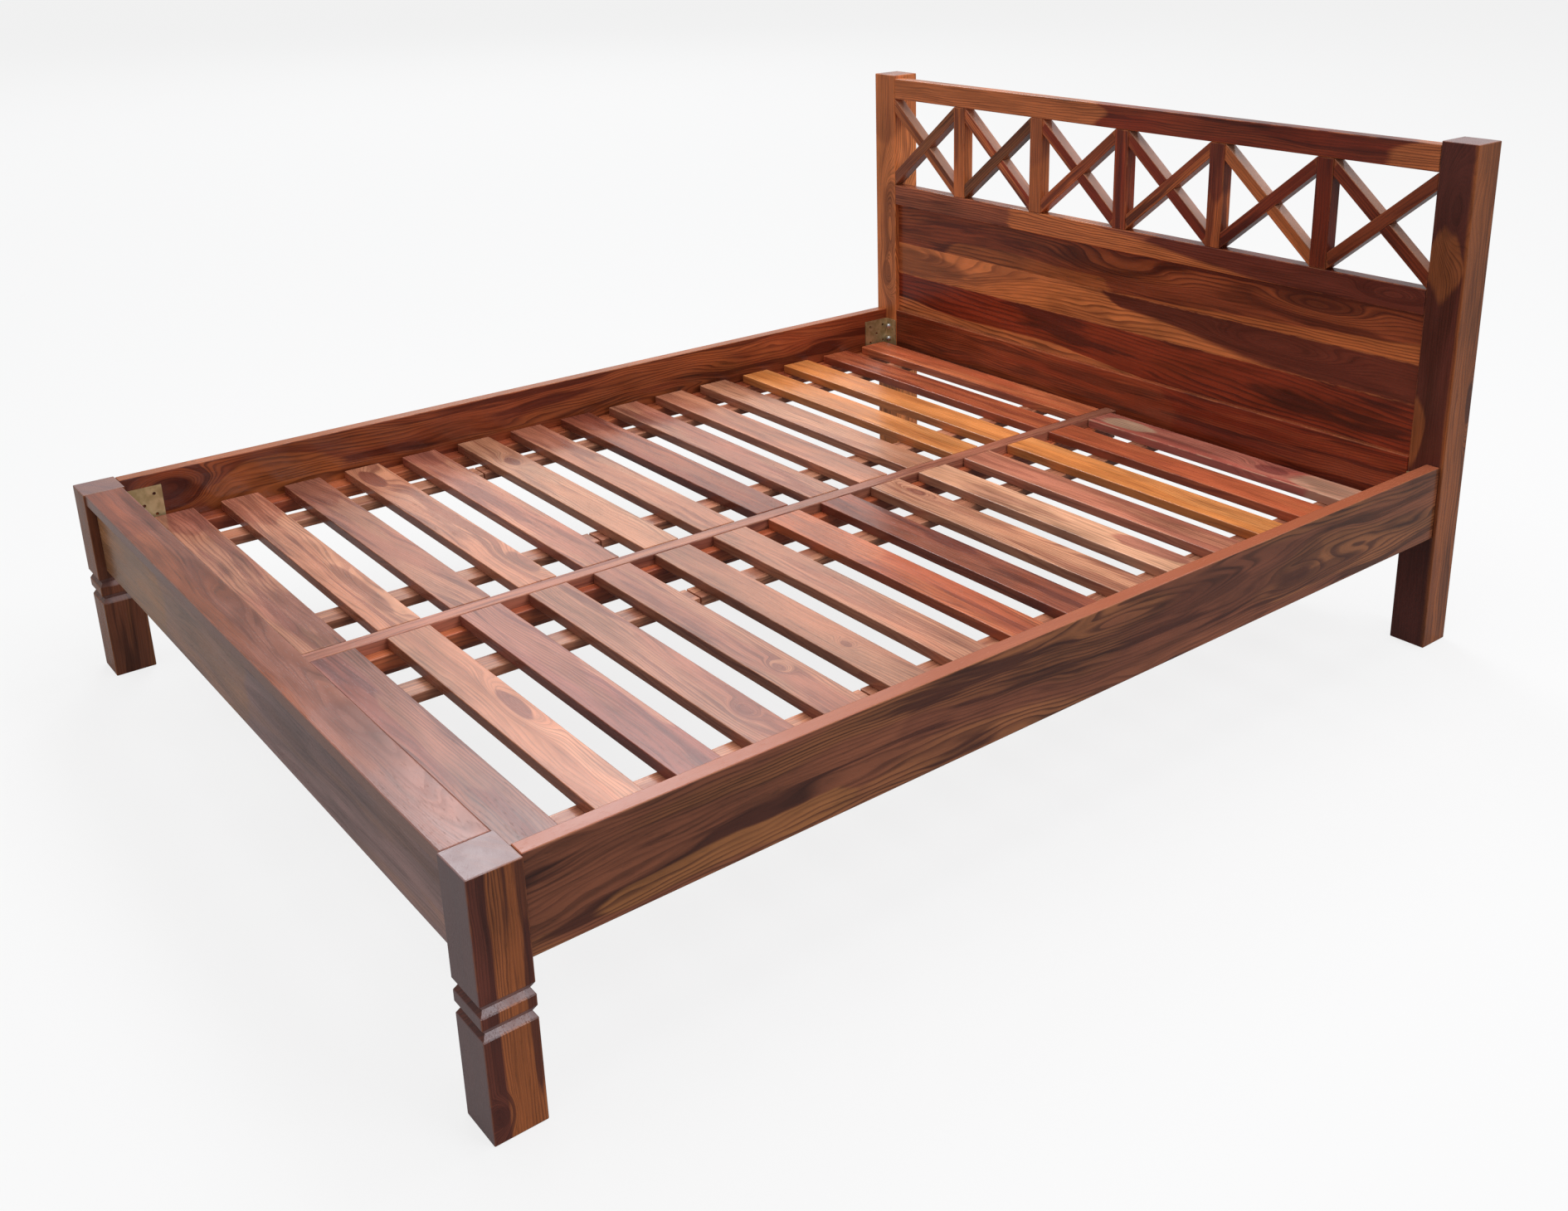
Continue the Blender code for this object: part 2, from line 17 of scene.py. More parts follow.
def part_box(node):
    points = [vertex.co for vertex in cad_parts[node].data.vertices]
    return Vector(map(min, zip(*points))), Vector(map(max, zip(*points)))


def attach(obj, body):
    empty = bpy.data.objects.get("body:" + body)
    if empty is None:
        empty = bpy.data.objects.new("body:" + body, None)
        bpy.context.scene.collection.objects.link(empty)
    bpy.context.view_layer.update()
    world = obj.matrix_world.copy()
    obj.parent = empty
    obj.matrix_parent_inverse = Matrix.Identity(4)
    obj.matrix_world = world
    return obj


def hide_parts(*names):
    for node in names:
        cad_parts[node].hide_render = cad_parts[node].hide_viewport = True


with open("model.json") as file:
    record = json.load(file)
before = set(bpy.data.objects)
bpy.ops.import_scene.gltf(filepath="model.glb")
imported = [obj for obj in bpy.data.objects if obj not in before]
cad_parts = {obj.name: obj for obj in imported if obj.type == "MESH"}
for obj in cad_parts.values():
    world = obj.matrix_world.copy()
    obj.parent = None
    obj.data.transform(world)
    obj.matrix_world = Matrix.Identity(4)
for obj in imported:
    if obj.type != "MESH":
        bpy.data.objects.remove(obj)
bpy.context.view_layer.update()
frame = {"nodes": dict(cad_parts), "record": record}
nodes = frame["nodes"]
bodies = frame["record"]["behaviour"]["bodies"]
print("solids:", len(nodes), "bodies:", sorted(bodies))

# %% [markdown]
# ## The camera
#
# The bed was photographed from its right foot corner, a little below eye height. A camera can
# be placed by eye, but straight bed rails make good rulers: their corners fix the place, the
# turn and the focal length together. The picture was cropped off centre, so the lens also needs a
# shift. The numbers below are that fit, and the three axes of the camera are built from its turn,
# its tilt and a very small roll.

# %% Place the camera
PICTURE_WIDTH = 1890
PICTURE_HEIGHT = 1460
FOCAL_PIXELS = 1887.20
LENS_CENTRE = (1039.777, 522.514)
CAMERA_TURN = 0.8874
CAMERA_TILT = 0.3342
CAMERA_ROLL = -0.0155
CAMERA_PLACE = Vector((2.3776, -1.6991, 1.4847))
SENSOR = 36.0


def camera_axes(turn, tilt, roll):
    """The camera's right, up and backward directions."""
    back = Vector((
        math.sin(turn) * math.cos(tilt),
        -math.cos(turn) * math.cos(tilt),
        math.sin(tilt),
    ))
    level = (-back).cross(Vector((0, 0, 1))).normalized()
    upward = level.cross(-back)
    right = math.cos(roll) * level + math.sin(roll) * upward
    up = math.cos(roll) * upward - math.sin(roll) * level
    return right, up, back


def new_object(name, data):
    """An object that holds its data, linked into the scene."""
    thing = bpy.data.objects.new(name, data)
    bpy.context.scene.collection.objects.link(thing)
    return thing


view = bpy.data.cameras.new("photo_view")
view.sensor_width = SENSOR
view.lens = SENSOR * FOCAL_PIXELS / PICTURE_WIDTH
view.shift_x = (PICTURE_WIDTH / 2 - LENS_CENTRE[0]) / PICTURE_WIDTH
view.shift_y = (LENS_CENTRE[1] - PICTURE_HEIGHT / 2) / PICTURE_WIDTH
view.clip_end = 200.0
camera = new_object("photo_view", view)
axes = Matrix(camera_axes(CAMERA_TURN, CAMERA_TILT, CAMERA_ROLL)).transposed()
camera.matrix_world = Matrix.Translation(CAMERA_PLACE) @ axes.to_4x4()
bpy.context.scene.camera = camera
bpy.context.scene.view_settings.view_transform = "Standard"
print("lens", round(view.lens, 2), "mm")

# %% [markdown]
# ## Small helpers for node trees
#
# A finish is a tree of nodes, and most of its nodes do simple sums. Adding each by hand hides the
# idea behind a page of sockets, so these helpers take numbers or sockets alike and give back the
# socket of the result.

# %% Node helpers


def feed(tree, term, socket):
    """Links a socket to an input, or writes a plain value there."""
    if isinstance(term, bpy.types.NodeSocket):
        tree.links.new(term, socket)
    else:
        socket.default_value = term


def add_node(tree, kind, terms, **settings):
    """Adds a node, feeds its inputs by number or by name and gives back its outputs."""
    node = tree.nodes.new("ShaderNode" + kind)
    for name, value in settings.items():
        setattr(node, name, value)
    for key, term in terms.items() if isinstance(terms, dict) else enumerate(terms):
        feed(tree, term, node.inputs[key])
    return node.outputs


def sums(tree, operation, *terms):
    """One sum of numbers."""
    return add_node(tree, "Math", terms, operation=operation)[0]


def times(tree, first, second):
    """The product of two numbers."""
    return sums(tree, "MULTIPLY", first, second)


def vector_sums(tree, operation, *terms):
    """One sum of vectors that gives a vector."""
    return add_node(tree, "VectorMath", terms, operation=operation)["Vector"]


def scaled(tree, vector, factor):
    """A vector or colour times one number."""
    terms = {0: vector, "Scale": factor}
    return add_node(tree, "VectorMath", terms, operation="SCALE")["Vector"]


def length_of(tree, vector):
    """The length of a vector."""
    return add_node(tree, "VectorMath", [vector], operation="LENGTH")["Value"]


def parts_of(tree, vector):
    """The three numbers of a vector."""
    return list(add_node(tree, "SeparateXYZ", [vector]))


def vector_of(tree, *parts):
    """A vector from three numbers."""
    return add_node(tree, "CombineXYZ", parts)[0]


def cloud(tree, place, detail=2.0, roughness=0.5):
    """Soft noise at a place: its grey value and its colour."""
    terms = {"Vector": place, "Scale": 1.0, "Detail": detail, "Roughness": roughness}
    noise = add_node(tree, "TexNoise", terms)
    return noise[0], noise[1]


def rise(tree, value, low, high, start=0.0, end=1.0):
    """A smooth step from start to end as the value goes from low to high."""
    terms = {"Value": value, "From Min": low, "From Max": high, "To Min": start, "To Max": end}
    return add_node(tree, "MapRange", terms, interpolation_type="SMOOTHSTEP")["Result"]


def blended(tree, share, first, second):
    """Two colours mixed by a share from 0 to 1."""
    return add_node(tree, "Mix", {0: share, 6: first, 7: second}, data_type="RGBA")[2]


print("node helpers ready")

# %% [markdown]
# ## The studio
#
# The picture has a white ground and bright, soft light from above and behind the bed on its left.
# That is why the tops of the boards shine while the faces towards us stay dark. Two big soft lamps
# behind give the shine. Two smaller ones, low on the right and behind the head, catch the
# sloping faces of the grooves and of the lattice. One above and one high on the right give the
# evenness, and a grey surround fills the shadows. The floor is pale, and to the camera it is
# lifted towards white, which leaves a faint shadow.

# %% Floor, surround and lamps
FLOOR_REACH = 60.0
FLOOR_DROP = 0.0006
FLOOR_PALE = (0.26, 0.26, 0.26, 1.0)
FLOOR_SEEN = (0.80, 0.80, 0.80, 1.0)
WHITE = (1.0, 1.0, 1.0, 1.0)
WHITE_SHARE_SEEN = 0.80
WHITE_SHARE_MIRRORED = 0.10
SURROUND = 0.47
DECK = (0.4, -0.7, 0.3)
LAMPS = [
    # name, place, target, size, power, colour
    ("lamp_behind_left", (-9.02, 3.89, 9.73), DECK, (4.4, 5.0), 360.0, (0.88, 0.93, 1.0)),
    ("lamp_low_behind_left", (-9.97, 5.53, 7.56), DECK, (5.4, 7.0), 140.0, (1.0, 0.97, 0.94)),
    ("lamp_high_right", (6.4, 2.6, 7.4), (0.4, 0.0, 0.4), (3.4, 3.4), 180.0, (0.94, 0.95, 1.0)),
    ("lamp_low_right", (9.7, 2.1, 3.66), (0.86, -1.04, 0.19), (1.6, 1.6), 60.0,
     (0.90, 0.92, 1.0)),
    ("lamp_behind_head", (0.3, 8.2, 7.2), (0.0, 1.0, 0.85), (2.8, 2.4), 40.0, (0.94, 0.95, 1.0)),
    ("lamp_above", (0.2, 0.45, 3.7), (0.2, 0.45, 0.3), (3.0, 3.0), 56.0, (1.0, 1.0, 1.0)),
]


def new_finish(name):
    """A new material, its node tree and its surface."""
    material = bpy.data.materials.new(name)
    material.use_nodes = True
    return material, material.node_tree, material.node_tree.nodes["Principled BSDF"]


def seen_and_mirrored(tree):
    """Masks of the rays from the camera and of those that mirror or pass through."""
    path = tree.nodes.new("ShaderNodeLightPath").outputs
    mirrored = sums(tree, "MAXIMUM", path["Is Glossy Ray"], path["Is Transmission Ray"])
    return path["Is Camera Ray"], mirrored


def mix_into(tree, output, share, first, second):
    """Mixes two shaders by a share and links them to the tree's output."""
    both = add_node(tree, "MixShader", (share, first.outputs[0], second.outputs[0]))[0]
    tree.links.new(both, tree.nodes[output].inputs["Surface"])


def make_floor():
    """A wide pale floor just under the feet."""
    mesh = bpy.data.meshes.new("studio_floor")
    corners = [
        (x * FLOOR_REACH, y * FLOOR_REACH, -FLOOR_DROP)
        for x, y in ((-1, -1), (1, -1), (1, 1), (-1, 1))
    ]
    mesh.from_pydata(corners, [], [(0, 1, 2, 3)])
    floor = new_object("studio_floor", mesh)
    material, tree, matt = new_finish("pale_floor")
    matt.inputs["Roughness"].default_value = 1.0
    matt.inputs["Specular IOR Level"].default_value = 0.0
    glow = tree.nodes.new("ShaderNodeEmission")
    glow.inputs["Color"].default_value = WHITE
    seen, mirrored = seen_and_mirrored(tree)
    tree.links.new(blended(tree, seen, FLOOR_PALE, FLOOR_SEEN), matt.inputs["Base Color"])
    share = sums(
        tree, "MAXIMUM", times(tree, seen, WHITE_SHARE_SEEN),
        times(tree, mirrored, WHITE_SHARE_MIRRORED))
    mix_into(tree, "Material Output", share, matt, glow)
    mesh.materials.append(material)


def make_surround():
    """A grey world that looks white to the camera and a little whiter in mirrors."""
    world = bpy.data.worlds.new("studio_surround")
    bpy.context.scene.world = world
    world.use_nodes = True
    tree = world.node_tree
    fill = tree.nodes["Background"]
    plain = tree.nodes.new("ShaderNodeBackground")
    for ground, strength in ((fill, SURROUND), (plain, 1.0)):
        ground.inputs["Color"].default_value = WHITE
        ground.inputs["Strength"].default_value = strength
    seen, mirrored = seen_and_mirrored(tree)
    share = sums(tree, "MAXIMUM", seen, times(tree, mirrored, WHITE_SHARE_MIRRORED))
    mix_into(tree, "World Output", share, fill, plain)


def soft_lamp(name, place, target, size, power, colour):
    """A soft lamp, wide and high as its size says, that faces a target."""
    lamp = bpy.data.lights.new(name, "AREA")
    lamp.shape = "RECTANGLE"
    lamp.size, lamp.size_y = size
    lamp.energy = power
    lamp.color = colour
    holder = new_object(name, lamp)
    direction = Vector(target) - Vector(place)
    holder.location = place
    holder.rotation_euler = direction.to_track_quat("-Z", "Y").to_euler()
    holder.visible_camera = False


make_floor()
make_surround()
for lamp in LAMPS:
    soft_lamp(*lamp)
print("studio: one floor,", len(LAMPS), "lamps")

# %% [markdown]
# ## Sheesham figure
#
# Sheesham is a rosewood. Its heartwood runs from tan to plum in zones with crisp edges, dark
# lines follow the growth rings, pale sapwood comes in tongues, and knots push the rings aside
# into ovals. A picture of wood wrapped round a board would look wrong on its end. A solid pattern
# that is stretched along the grain is right on every face, so the figure is made from noise in
# the board's own coordinates: X along the grain, Y across, Z through.
#
# It is one node group. Each board places it with its own seed and tones, up to three bands (a sap
# tongue, a second one called the flame, and a dark band, which is a dark core on some boards and
# painted shade on others) and up to two knots.

# %% The figure group


def open_group(name, inputs, outputs):
    """A shader node group with named sockets, given as (name, kind, start value)."""
    group = bpy.data.node_groups.new(name, "ShaderNodeTree")
    for label, kind, value in inputs:
        socket = group.interface.new_socket(label, in_out="INPUT", socket_type=kind)
        socket.default_value = value
    for label, kind in outputs:
        group.interface.new_socket(label, in_out="OUTPUT", socket_type=kind)
    source = group.nodes.new("NodeGroupInput").outputs
    result = group.nodes.new("NodeGroupOutput").inputs
    return group, source, result


FAR_AWAY = (9.0, 9.0, 9.0)
VECTOR, NUMBER, COLOUR = "NodeSocketVector", "NodeSocketFloat", "NodeSocketColor"
BANDS = ("Core", "Sap", "Flame")
KNOTS = ("Knot", "Eye")
figure_inputs = [
    ("Place", VECTOR, (0.0, 0.0, 0.0)), ("Seed", NUMBER, 0.0),
    ("Heart", COLOUR, WHITE), ("Streak", COLOUR, WHITE), ("Sap", COLOUR, WHITE),
    ("Streaks", NUMBER, 0.6), ("Zones", NUMBER, 0.4), ("Lines", NUMBER, 0.4),
    ("Ring Width", NUMBER, 0.02), ("Wander", NUMBER, 0.06), ("Tilt", NUMBER, 0.0),
]
for kind in BANDS:
    figure_inputs += [
        (kind + " Line", NUMBER, 0.0), (kind + " Slope", NUMBER, 0.0),
        (kind + " Taper", NUMBER, 0.0), (kind + " Half", NUMBER, 0.01),
        (kind + " From", NUMBER, -9.0), (kind + " To", NUMBER, 9.0),
        (kind + " Share", NUMBER, 0.0),
    ]
for kind in KNOTS:
    figure_inputs += [
        (kind + " Place", VECTOR, FAR_AWAY), (kind + " Size", VECTOR, (0.04, 0.02, 0.04)),
        (kind + " Rings", NUMBER, 0.0), (kind + " Share", NUMBER, 0.0),
    ]
figure_group, given, made = open_group(
    "sheesham_figure", figure_inputs,
    [("Color", COLOUR), ("Roughness", NUMBER), ("Height", NUMBER)])
print("figure inputs:", len(figure_inputs))

# %% Bend the grain
SEED_JUMP = (3.17, 1.73, 2.39)
SLOW_NOISE = (1.5, 8.0, 8.0)
QUICK_NOISE = (7.0, 34.0, 34.0)
RIPPLE = 0.010
MIDDLE_GREY = (0.5, 0.5, 0.5)
NOT_ALONG = (0.0, 1.0, 1.0)


def push(tree, noise, strength):
    """A noise colour made into a push that goes both ways."""
    return scaled(tree, vector_sums(tree, "SUBTRACT", noise, MIDDLE_GREY), strength)


def knot_distance(tree, kind, place):
    """Distance from a knot, in knot sizes."""
    away = vector_sums(tree, "SUBTRACT", place, given[kind + " Place"])
    return length_of(tree, vector_sums(tree, "DIVIDE", away, given[kind + " Size"]))


tree = figure_group
moved = vector_sums(tree, "ADD", given["Place"], scaled(tree, SEED_JUMP, given["Seed"]))
slow, slow_colour = cloud(tree, vector_sums(tree, "MULTIPLY", moved, SLOW_NOISE))
quick, quick_colour = cloud(tree, vector_sums(tree, "MULTIPLY", moved, QUICK_NOISE))
rippled = vector_sums(tree, "ADD", given["Place"], push(tree, quick_colour, RIPPLE))
bend = vector_sums(tree, "MULTIPLY", push(tree, slow_colour, given["Wander"]), NOT_ALONG)
along, across, through = parts_of(tree, vector_sums(tree, "ADD", rippled, bend))
seed_along = parts_of(tree, moved)[0]
knot_far = {kind: knot_distance(tree, kind, rippled) for kind in KNOTS}
print("figure nodes so far:", len(tree.nodes))

# %% [markdown]
# A ring number grows across the board and swells round each knot. Noise along that number
# gives the broad dark streaks, the paler zones and thin dark hairlines. A sawtooth of the same
# number gives the fine lines: late wood darkens slowly through a season and stops at once.

# %% Rings, zones and fine lines
KNOT_REACH = 2.6
THROUGH_SHARE = 0.55
RINGS_PER_SEED = 5.3
FINE_LINES_PER_RING = 4.0
FINE_LINE_SHIFT = 2.0
LATE_WOOD_GROWS = (0.35, 0.92)
LATE_WOOD_STOPS = (0.93, 1.0)
FINE_IN_ZONES = (0.35, 0.60, 0.35, 1.0)
PORE_NOISE = (60.0, 620.0, 620.0)
STREAK_EDGE = (0.51, 0.60)
HAIR_EDGE = (0.46, 0.66)
ZONE_EDGE = (0.47, 0.56)
PORE_EDGE = (0.58, 0.74)
level = sums(tree, "SUBTRACT", across, times(tree, given["Tilt"], along))
ring = sums(tree, "ADD", level, times(tree, through, THROUGH_SHARE))
ring = sums(tree, "DIVIDE", ring, given["Ring Width"])
ring = sums(tree, "ADD", ring, times(tree, given["Seed"], RINGS_PER_SEED))
for kind in KNOTS:
    swell = rise(tree, knot_far[kind], 0.0, KNOT_REACH, 1.0, 0.0)
    ring = sums(tree, "MULTIPLY_ADD", swell, given[kind + " Rings"], ring)


def ring_noise(tree, per_ring, per_metre, jump, detail, roughness=0.5):
    """Noise that follows the rings and is drawn out along the board."""
    place = vector_of(
        tree, times(tree, ring, per_ring), times(tree, seed_along, per_metre),
        sums(tree, "ADD", given["Seed"], jump))
    return cloud(tree, place, detail, roughness)[0]


bands = ring_noise(tree, per_ring=1.0, per_metre=2.1, jump=0.0, detail=3.0, roughness=0.55)
zones = ring_noise(tree, per_ring=0.45, per_metre=1.6, jump=7.0, detail=2.5)
hairs = ring_noise(tree, per_ring=7.0, per_metre=6.0, jump=13.0, detail=2.0)
pores = cloud(tree, vector_sums(tree, "MULTIPLY", moved, PORE_NOISE), detail=1.0)[0]
shifted = times(tree, bands, FINE_LINE_SHIFT)
saw = sums(tree, "FRACT", sums(tree, "MULTIPLY_ADD", ring, FINE_LINES_PER_RING, shifted))
late_wood = times(
    tree, rise(tree, saw, *LATE_WOOD_GROWS), rise(tree, saw, *LATE_WOOD_STOPS, 1.0, 0.0))
fine = times(tree, late_wood, rise(tree, zones, *FINE_IN_ZONES))
streak = rise(tree, bands, *STREAK_EDGE)
hair = rise(tree, hairs, *HAIR_EDGE)
zone = rise(tree, zones, *ZONE_EDGE)
pore = rise(tree, pores, *PORE_EDGE)
print("figure nodes so far:", len(tree.nodes))

# %% Bands with rounded tongues
BAND_EDGE = (0.85, 1.05)
NARROWEST = 0.05
TONGUE_LENGTH = 2.2
TONGUE_EDGE = (-0.012, 0.012)
RAGGED = 0.06
DARK_BAND_OVER_STREAK = 1.6


def band(tree, kind):
    """A band along the board: 1 inside its half width and between its rounded ends."""
    middle = sums(tree, "MULTIPLY_ADD", given[kind + " Slope"], along, given[kind + " Line"])
    taper = sums(tree, "MULTIPLY_ADD", given[kind + " Taper"], along, 1.0)
    half = times(tree, given[kind + " Half"], sums(tree, "MAXIMUM", taper, NARROWEST))
    off = sums(tree, "ABSOLUTE", sums(tree, "SUBTRACT", across, middle))
    off = sums(tree, "DIVIDE", off, half)
    inside = rise(tree, off, *BAND_EDGE, 1.0, 0.0)
    nose = times(tree, times(tree, off, off), times(tree, given[kind + " Half"], TONGUE_LENGTH))
    ragged = sums(tree, "MULTIPLY_ADD", quick, RAGGED, sums(tree, "SUBTRACT", along, RAGGED / 2))
    begun = sums(tree, "SUBTRACT", sums(tree, "SUBTRACT", ragged, given[kind + " From"]), nose)
    left_over = sums(tree, "SUBTRACT", sums(tree, "SUBTRACT", given[kind + " To"], ragged), nose)
    between = times(tree, rise(tree, begun, *TONGUE_EDGE), rise(tree, left_over, *TONGUE_EDGE))
    return times(tree, times(tree, inside, between), given[kind + " Share"])


band_tone = {
    "Core": scaled(tree, given["Streak"], DARK_BAND_OVER_STREAK),
    "Sap": given["Sap"],
    "Flame": given["Sap"],
}
colour = blended(tree, times(tree, zone, given["Zones"]), given["Heart"], given["Sap"])
for kind in BANDS:
    colour = blended(tree, band(tree, kind), colour, band_tone[kind])
    if kind == "Core":
        colour = blended(tree, times(tree, streak, given["Streaks"]), colour, given["Streak"])
print("figure nodes so far:", len(tree.nodes))

# %% Lay the fine lines and knots and finish the group
KNOT_RAGGED = 0.5
KNOT_EDGE = (0.88, 1.10)
NOISE_SPAN = (0.3, 0.7)
SLOW_TONE = (0.84, 1.30)
QUICK_TONE = (-0.13, 0.13)
PORE_DARK = 0.22
HAIR_DARK = 0.26
GLOSS = (0.18, 0.27)
PORE_DULL = 0.12
FINE_RELIEF = 0.35
colour = blended(tree, times(tree, fine, given["Lines"]), colour, given["Streak"])
for kind in KNOTS:
    uneven = sums(
        tree, "MULTIPLY_ADD", quick, KNOT_RAGGED,
        sums(tree, "SUBTRACT", knot_far[kind], KNOT_RAGGED / 2))
    core = rise(tree, uneven, *KNOT_EDGE, 1.0, 0.0)
    colour = blended(tree, times(tree, core, given[kind + " Share"]), colour, given["Streak"])
light_and_dark = sums(
    tree, "ADD", rise(tree, slow, *NOISE_SPAN, *SLOW_TONE),
    rise(tree, quick, *NOISE_SPAN, *QUICK_TONE))
for mark, depth in ((pore, PORE_DARK), (hair, HAIR_DARK)):
    light_and_dark = sums(tree, "SUBTRACT", light_and_dark, times(tree, mark, depth))
feed(tree, scaled(tree, colour, light_and_dark), made["Color"])
gloss = sums(tree, "ADD", rise(tree, quick, *NOISE_SPAN, *GLOSS), times(tree, pore, PORE_DULL))
feed(tree, gloss, made["Roughness"])
feed(tree, sums(tree, "SUBTRACT", times(tree, fine, FINE_RELIEF), pore), made["Height"])
print("figure nodes:", len(tree.nodes))

# %% [markdown]
# ## Arrises, crowns and ends
#
# An arris is the sharp corner where two faces of a board meet. Sanding and handling rub the stain
# off it first, so real boards have paler, duller arrises. The paler colour given here also stands
# in for the bright line that light draws along an arris, so it is partly rubbed wear and partly
# painted highlight. Mesh curvature could find them, but these boards have large flat faces with
# too few points for that. A board is a plain box, so its arrises are where a point is close to two
# faces at once: the middle one of the three distances to the faces is small there. The same
# distances find the crown and the heel, which are a board's two long edges, the ends, and the
# faces of grooves, which are sunk below the wide faces. Some boards get painted light and shade
# there: a paler crown for a lit top or for the sheen on a front, a heel tint for painted shade on
# the slats' front edges and for painted sheen on the cap's front, and a pale lavender-grey on ends
# and groove faces for painted sheen.

# %% The arris group
FACE_SKIN = 0.0006
PATCH_NOISE = 26.0
PATCH_EDGE = (0.38, 0.62)
ARRIS_EDGE = (0.2, 1.0)
arris_group, given, made = open_group(
    "arris_and_face_masks",
    [
        ("Place", VECTOR, (0.0, 0.0, 0.0)), ("Half Size", VECTOR, (1.0, 1.0, 1.0)),
        ("Width", NUMBER, 0.003), ("Seed", NUMBER, 0.0),
    ],
    [(name, NUMBER) for name in ("Arris", "Crown", "Heel", "End", "Sunk")])
tree = arris_group
inward = vector_sums(
    tree, "SUBTRACT", given["Half Size"], vector_sums(tree, "ABSOLUTE", given["Place"]))
first, second, third = parts_of(tree, inward)
smaller = sums(tree, "MINIMUM", first, second)
larger = sums(tree, "MAXIMUM", first, second)
middle = sums(tree, "MAXIMUM", smaller, sums(tree, "MINIMUM", larger, third))
patchy = cloud(
    tree,
    vector_sums(
        tree, "ADD", scaled(tree, given["Place"], PATCH_NOISE),
        vector_of(tree, given["Seed"], given["Seed"], 0.0)),
    detail=3.0)[0]
near = rise(tree, sums(tree, "DIVIDE", middle, given["Width"]), *ARRIS_EDGE, 1.0, 0.0)
feed(tree, times(tree, near, rise(tree, patchy, *PATCH_EDGE)), made["Arris"])
half_across = parts_of(tree, given["Half Size"])[1]
place_across = parts_of(tree, given["Place"])[1]
for name, inset in (
    ("Crown", sums(tree, "SUBTRACT", half_across, place_across)),
    ("Heel", sums(tree, "ADD", half_across, place_across)), ("End", first),
):
    feed(tree, rise(tree, inset, FACE_SKIN, 2 * FACE_SKIN, 1.0, 0.0), made[name])
deeper = rise(tree, sums(tree, "SUBTRACT", smaller, third), 0.0, FACE_SKIN)
sunk = rise(tree, third, FACE_SKIN, 3 * FACE_SKIN)
feed(tree, times(tree, sunk, deeper), made["Sunk"])
print("arris nodes:", len(tree.nodes))

# %% [markdown]
# ## Tones and the board finish
#
# The boards were not matched for colour, and that is half of this bed's charm. A tone names
# three colours: the heartwood, its dark streak, and its sapwood. The finish for one board
# takes a tone, finds the board's own coordinates from its box and its grain direction, and
# hands the figure, the rubbed arris with its painted highlight, and any painted light and shade on
# crown, heel, ends and grooves to one lacquered surface.

# %% Tones
TONES = {
    "rose": ((0.44, 0.160, 0.098), (0.21, 0.062, 0.042), (0.58, 0.265, 0.150)),
    "plum": ((0.33, 0.105, 0.075), (0.15, 0.042, 0.036), (0.46, 0.190, 0.120)),
    "tan": ((0.54, 0.215, 0.120), (0.25, 0.078, 0.048), (0.66, 0.310, 0.180)),
    "cherry": ((0.37, 0.098, 0.052), (0.15, 0.036, 0.024), (0.52, 0.175, 0.090)),
    "honey": ((0.80, 0.400, 0.235), (0.30, 0.105, 0.072), (0.86, 0.470, 0.290)),
    "peach": ((0.62, 0.270, 0.150), (0.27, 0.085, 0.052), (0.74, 0.370, 0.215)),
    "amber": ((0.72, 0.255, 0.070), (0.38, 0.105, 0.032), (0.80, 0.340, 0.115)),
    "russet": ((0.47, 0.110, 0.045), (0.22, 0.045, 0.024), (0.62, 0.190, 0.075)),
    "berry": ((0.60, 0.160, 0.112), (0.24, 0.060, 0.050), (0.90, 0.500, 0.330)),
    "gold": ((0.69, 0.225, 0.074), (0.080, 0.014, 0.010), (0.78, 0.260, 0.080)),
    "oxblood": ((0.27, 0.039, 0.015), (0.070, 0.012, 0.009), (0.67, 0.212, 0.072)),
    "chestnut": ((0.36, 0.080, 0.030), (0.090, 0.015, 0.010), (0.66, 0.195, 0.058)),
    "walnut": ((0.310, 0.100, 0.049), (0.080, 0.021, 0.013), (0.42, 0.160, 0.055)),
    "cocoa": ((0.34, 0.098, 0.048), (0.075, 0.013, 0.009), (0.62, 0.195, 0.062)),
    # Its pale grey-pink sap is painted sheen.
    "bark_with_sheen": ((0.31, 0.086, 0.034), (0.15, 0.036, 0.018), (0.32, 0.165, 0.145)),
    # Its grey heart is painted sheen.
    "slate_with_sheen": ((0.36, 0.210, 0.190), (0.20, 0.105, 0.095), (0.50, 0.220, 0.060)),
    "bronze": ((0.37, 0.110, 0.034), (0.080, 0.020, 0.014), (0.42, 0.132, 0.044)),
}
GRAIN = {
    "across_flat": ((1, 0, 0), (0, 1, 0), (0, 0, 1)),
    "across_on_edge": ((1, 0, 0), (0, 0, 1), (0, -1, 0)),
    "along_flat": ((0, 1, 0), (-1, 0, 0), (0, 0, 1)),
    "along_on_edge": ((0, 1, 0), (0, 0, 1), (1, 0, 0)),
    "upright": ((0, 0, 1), (1, 0, 0), (0, 1, 0)),
    "upright_front": ((0, 0, 1), (0, -1, 0), (1, 0, 0)),
}
# Pale lavender-grey painted sheen for the tops of legs and posts and for the faces of grooves.
END_AND_GROOVE_SHEEN = (0.32, 0.200, 0.195)
FIGURE_START = dict(Streaks=0.7, Zones=0.6, Lines=0.55, Ring_Width=0.022, Wander=0.06)
BOARD_START = dict(
    lift=1.0, crown=0.0, crown_tone=None, heel=0.0, heel_tone=None, end=0.0, sunk=0.0, pores=0.15)
BRIGHTEST = 0.95
# Share of the arris tint: rubbed wear and painted highlight together.
ARRIS_WEAR_AND_HIGHLIGHT = 0.45
ARRIS_DULL = 0.12
LACQUER_SPECULAR = 0.36
GRAIN_DEPTH = 0.0003


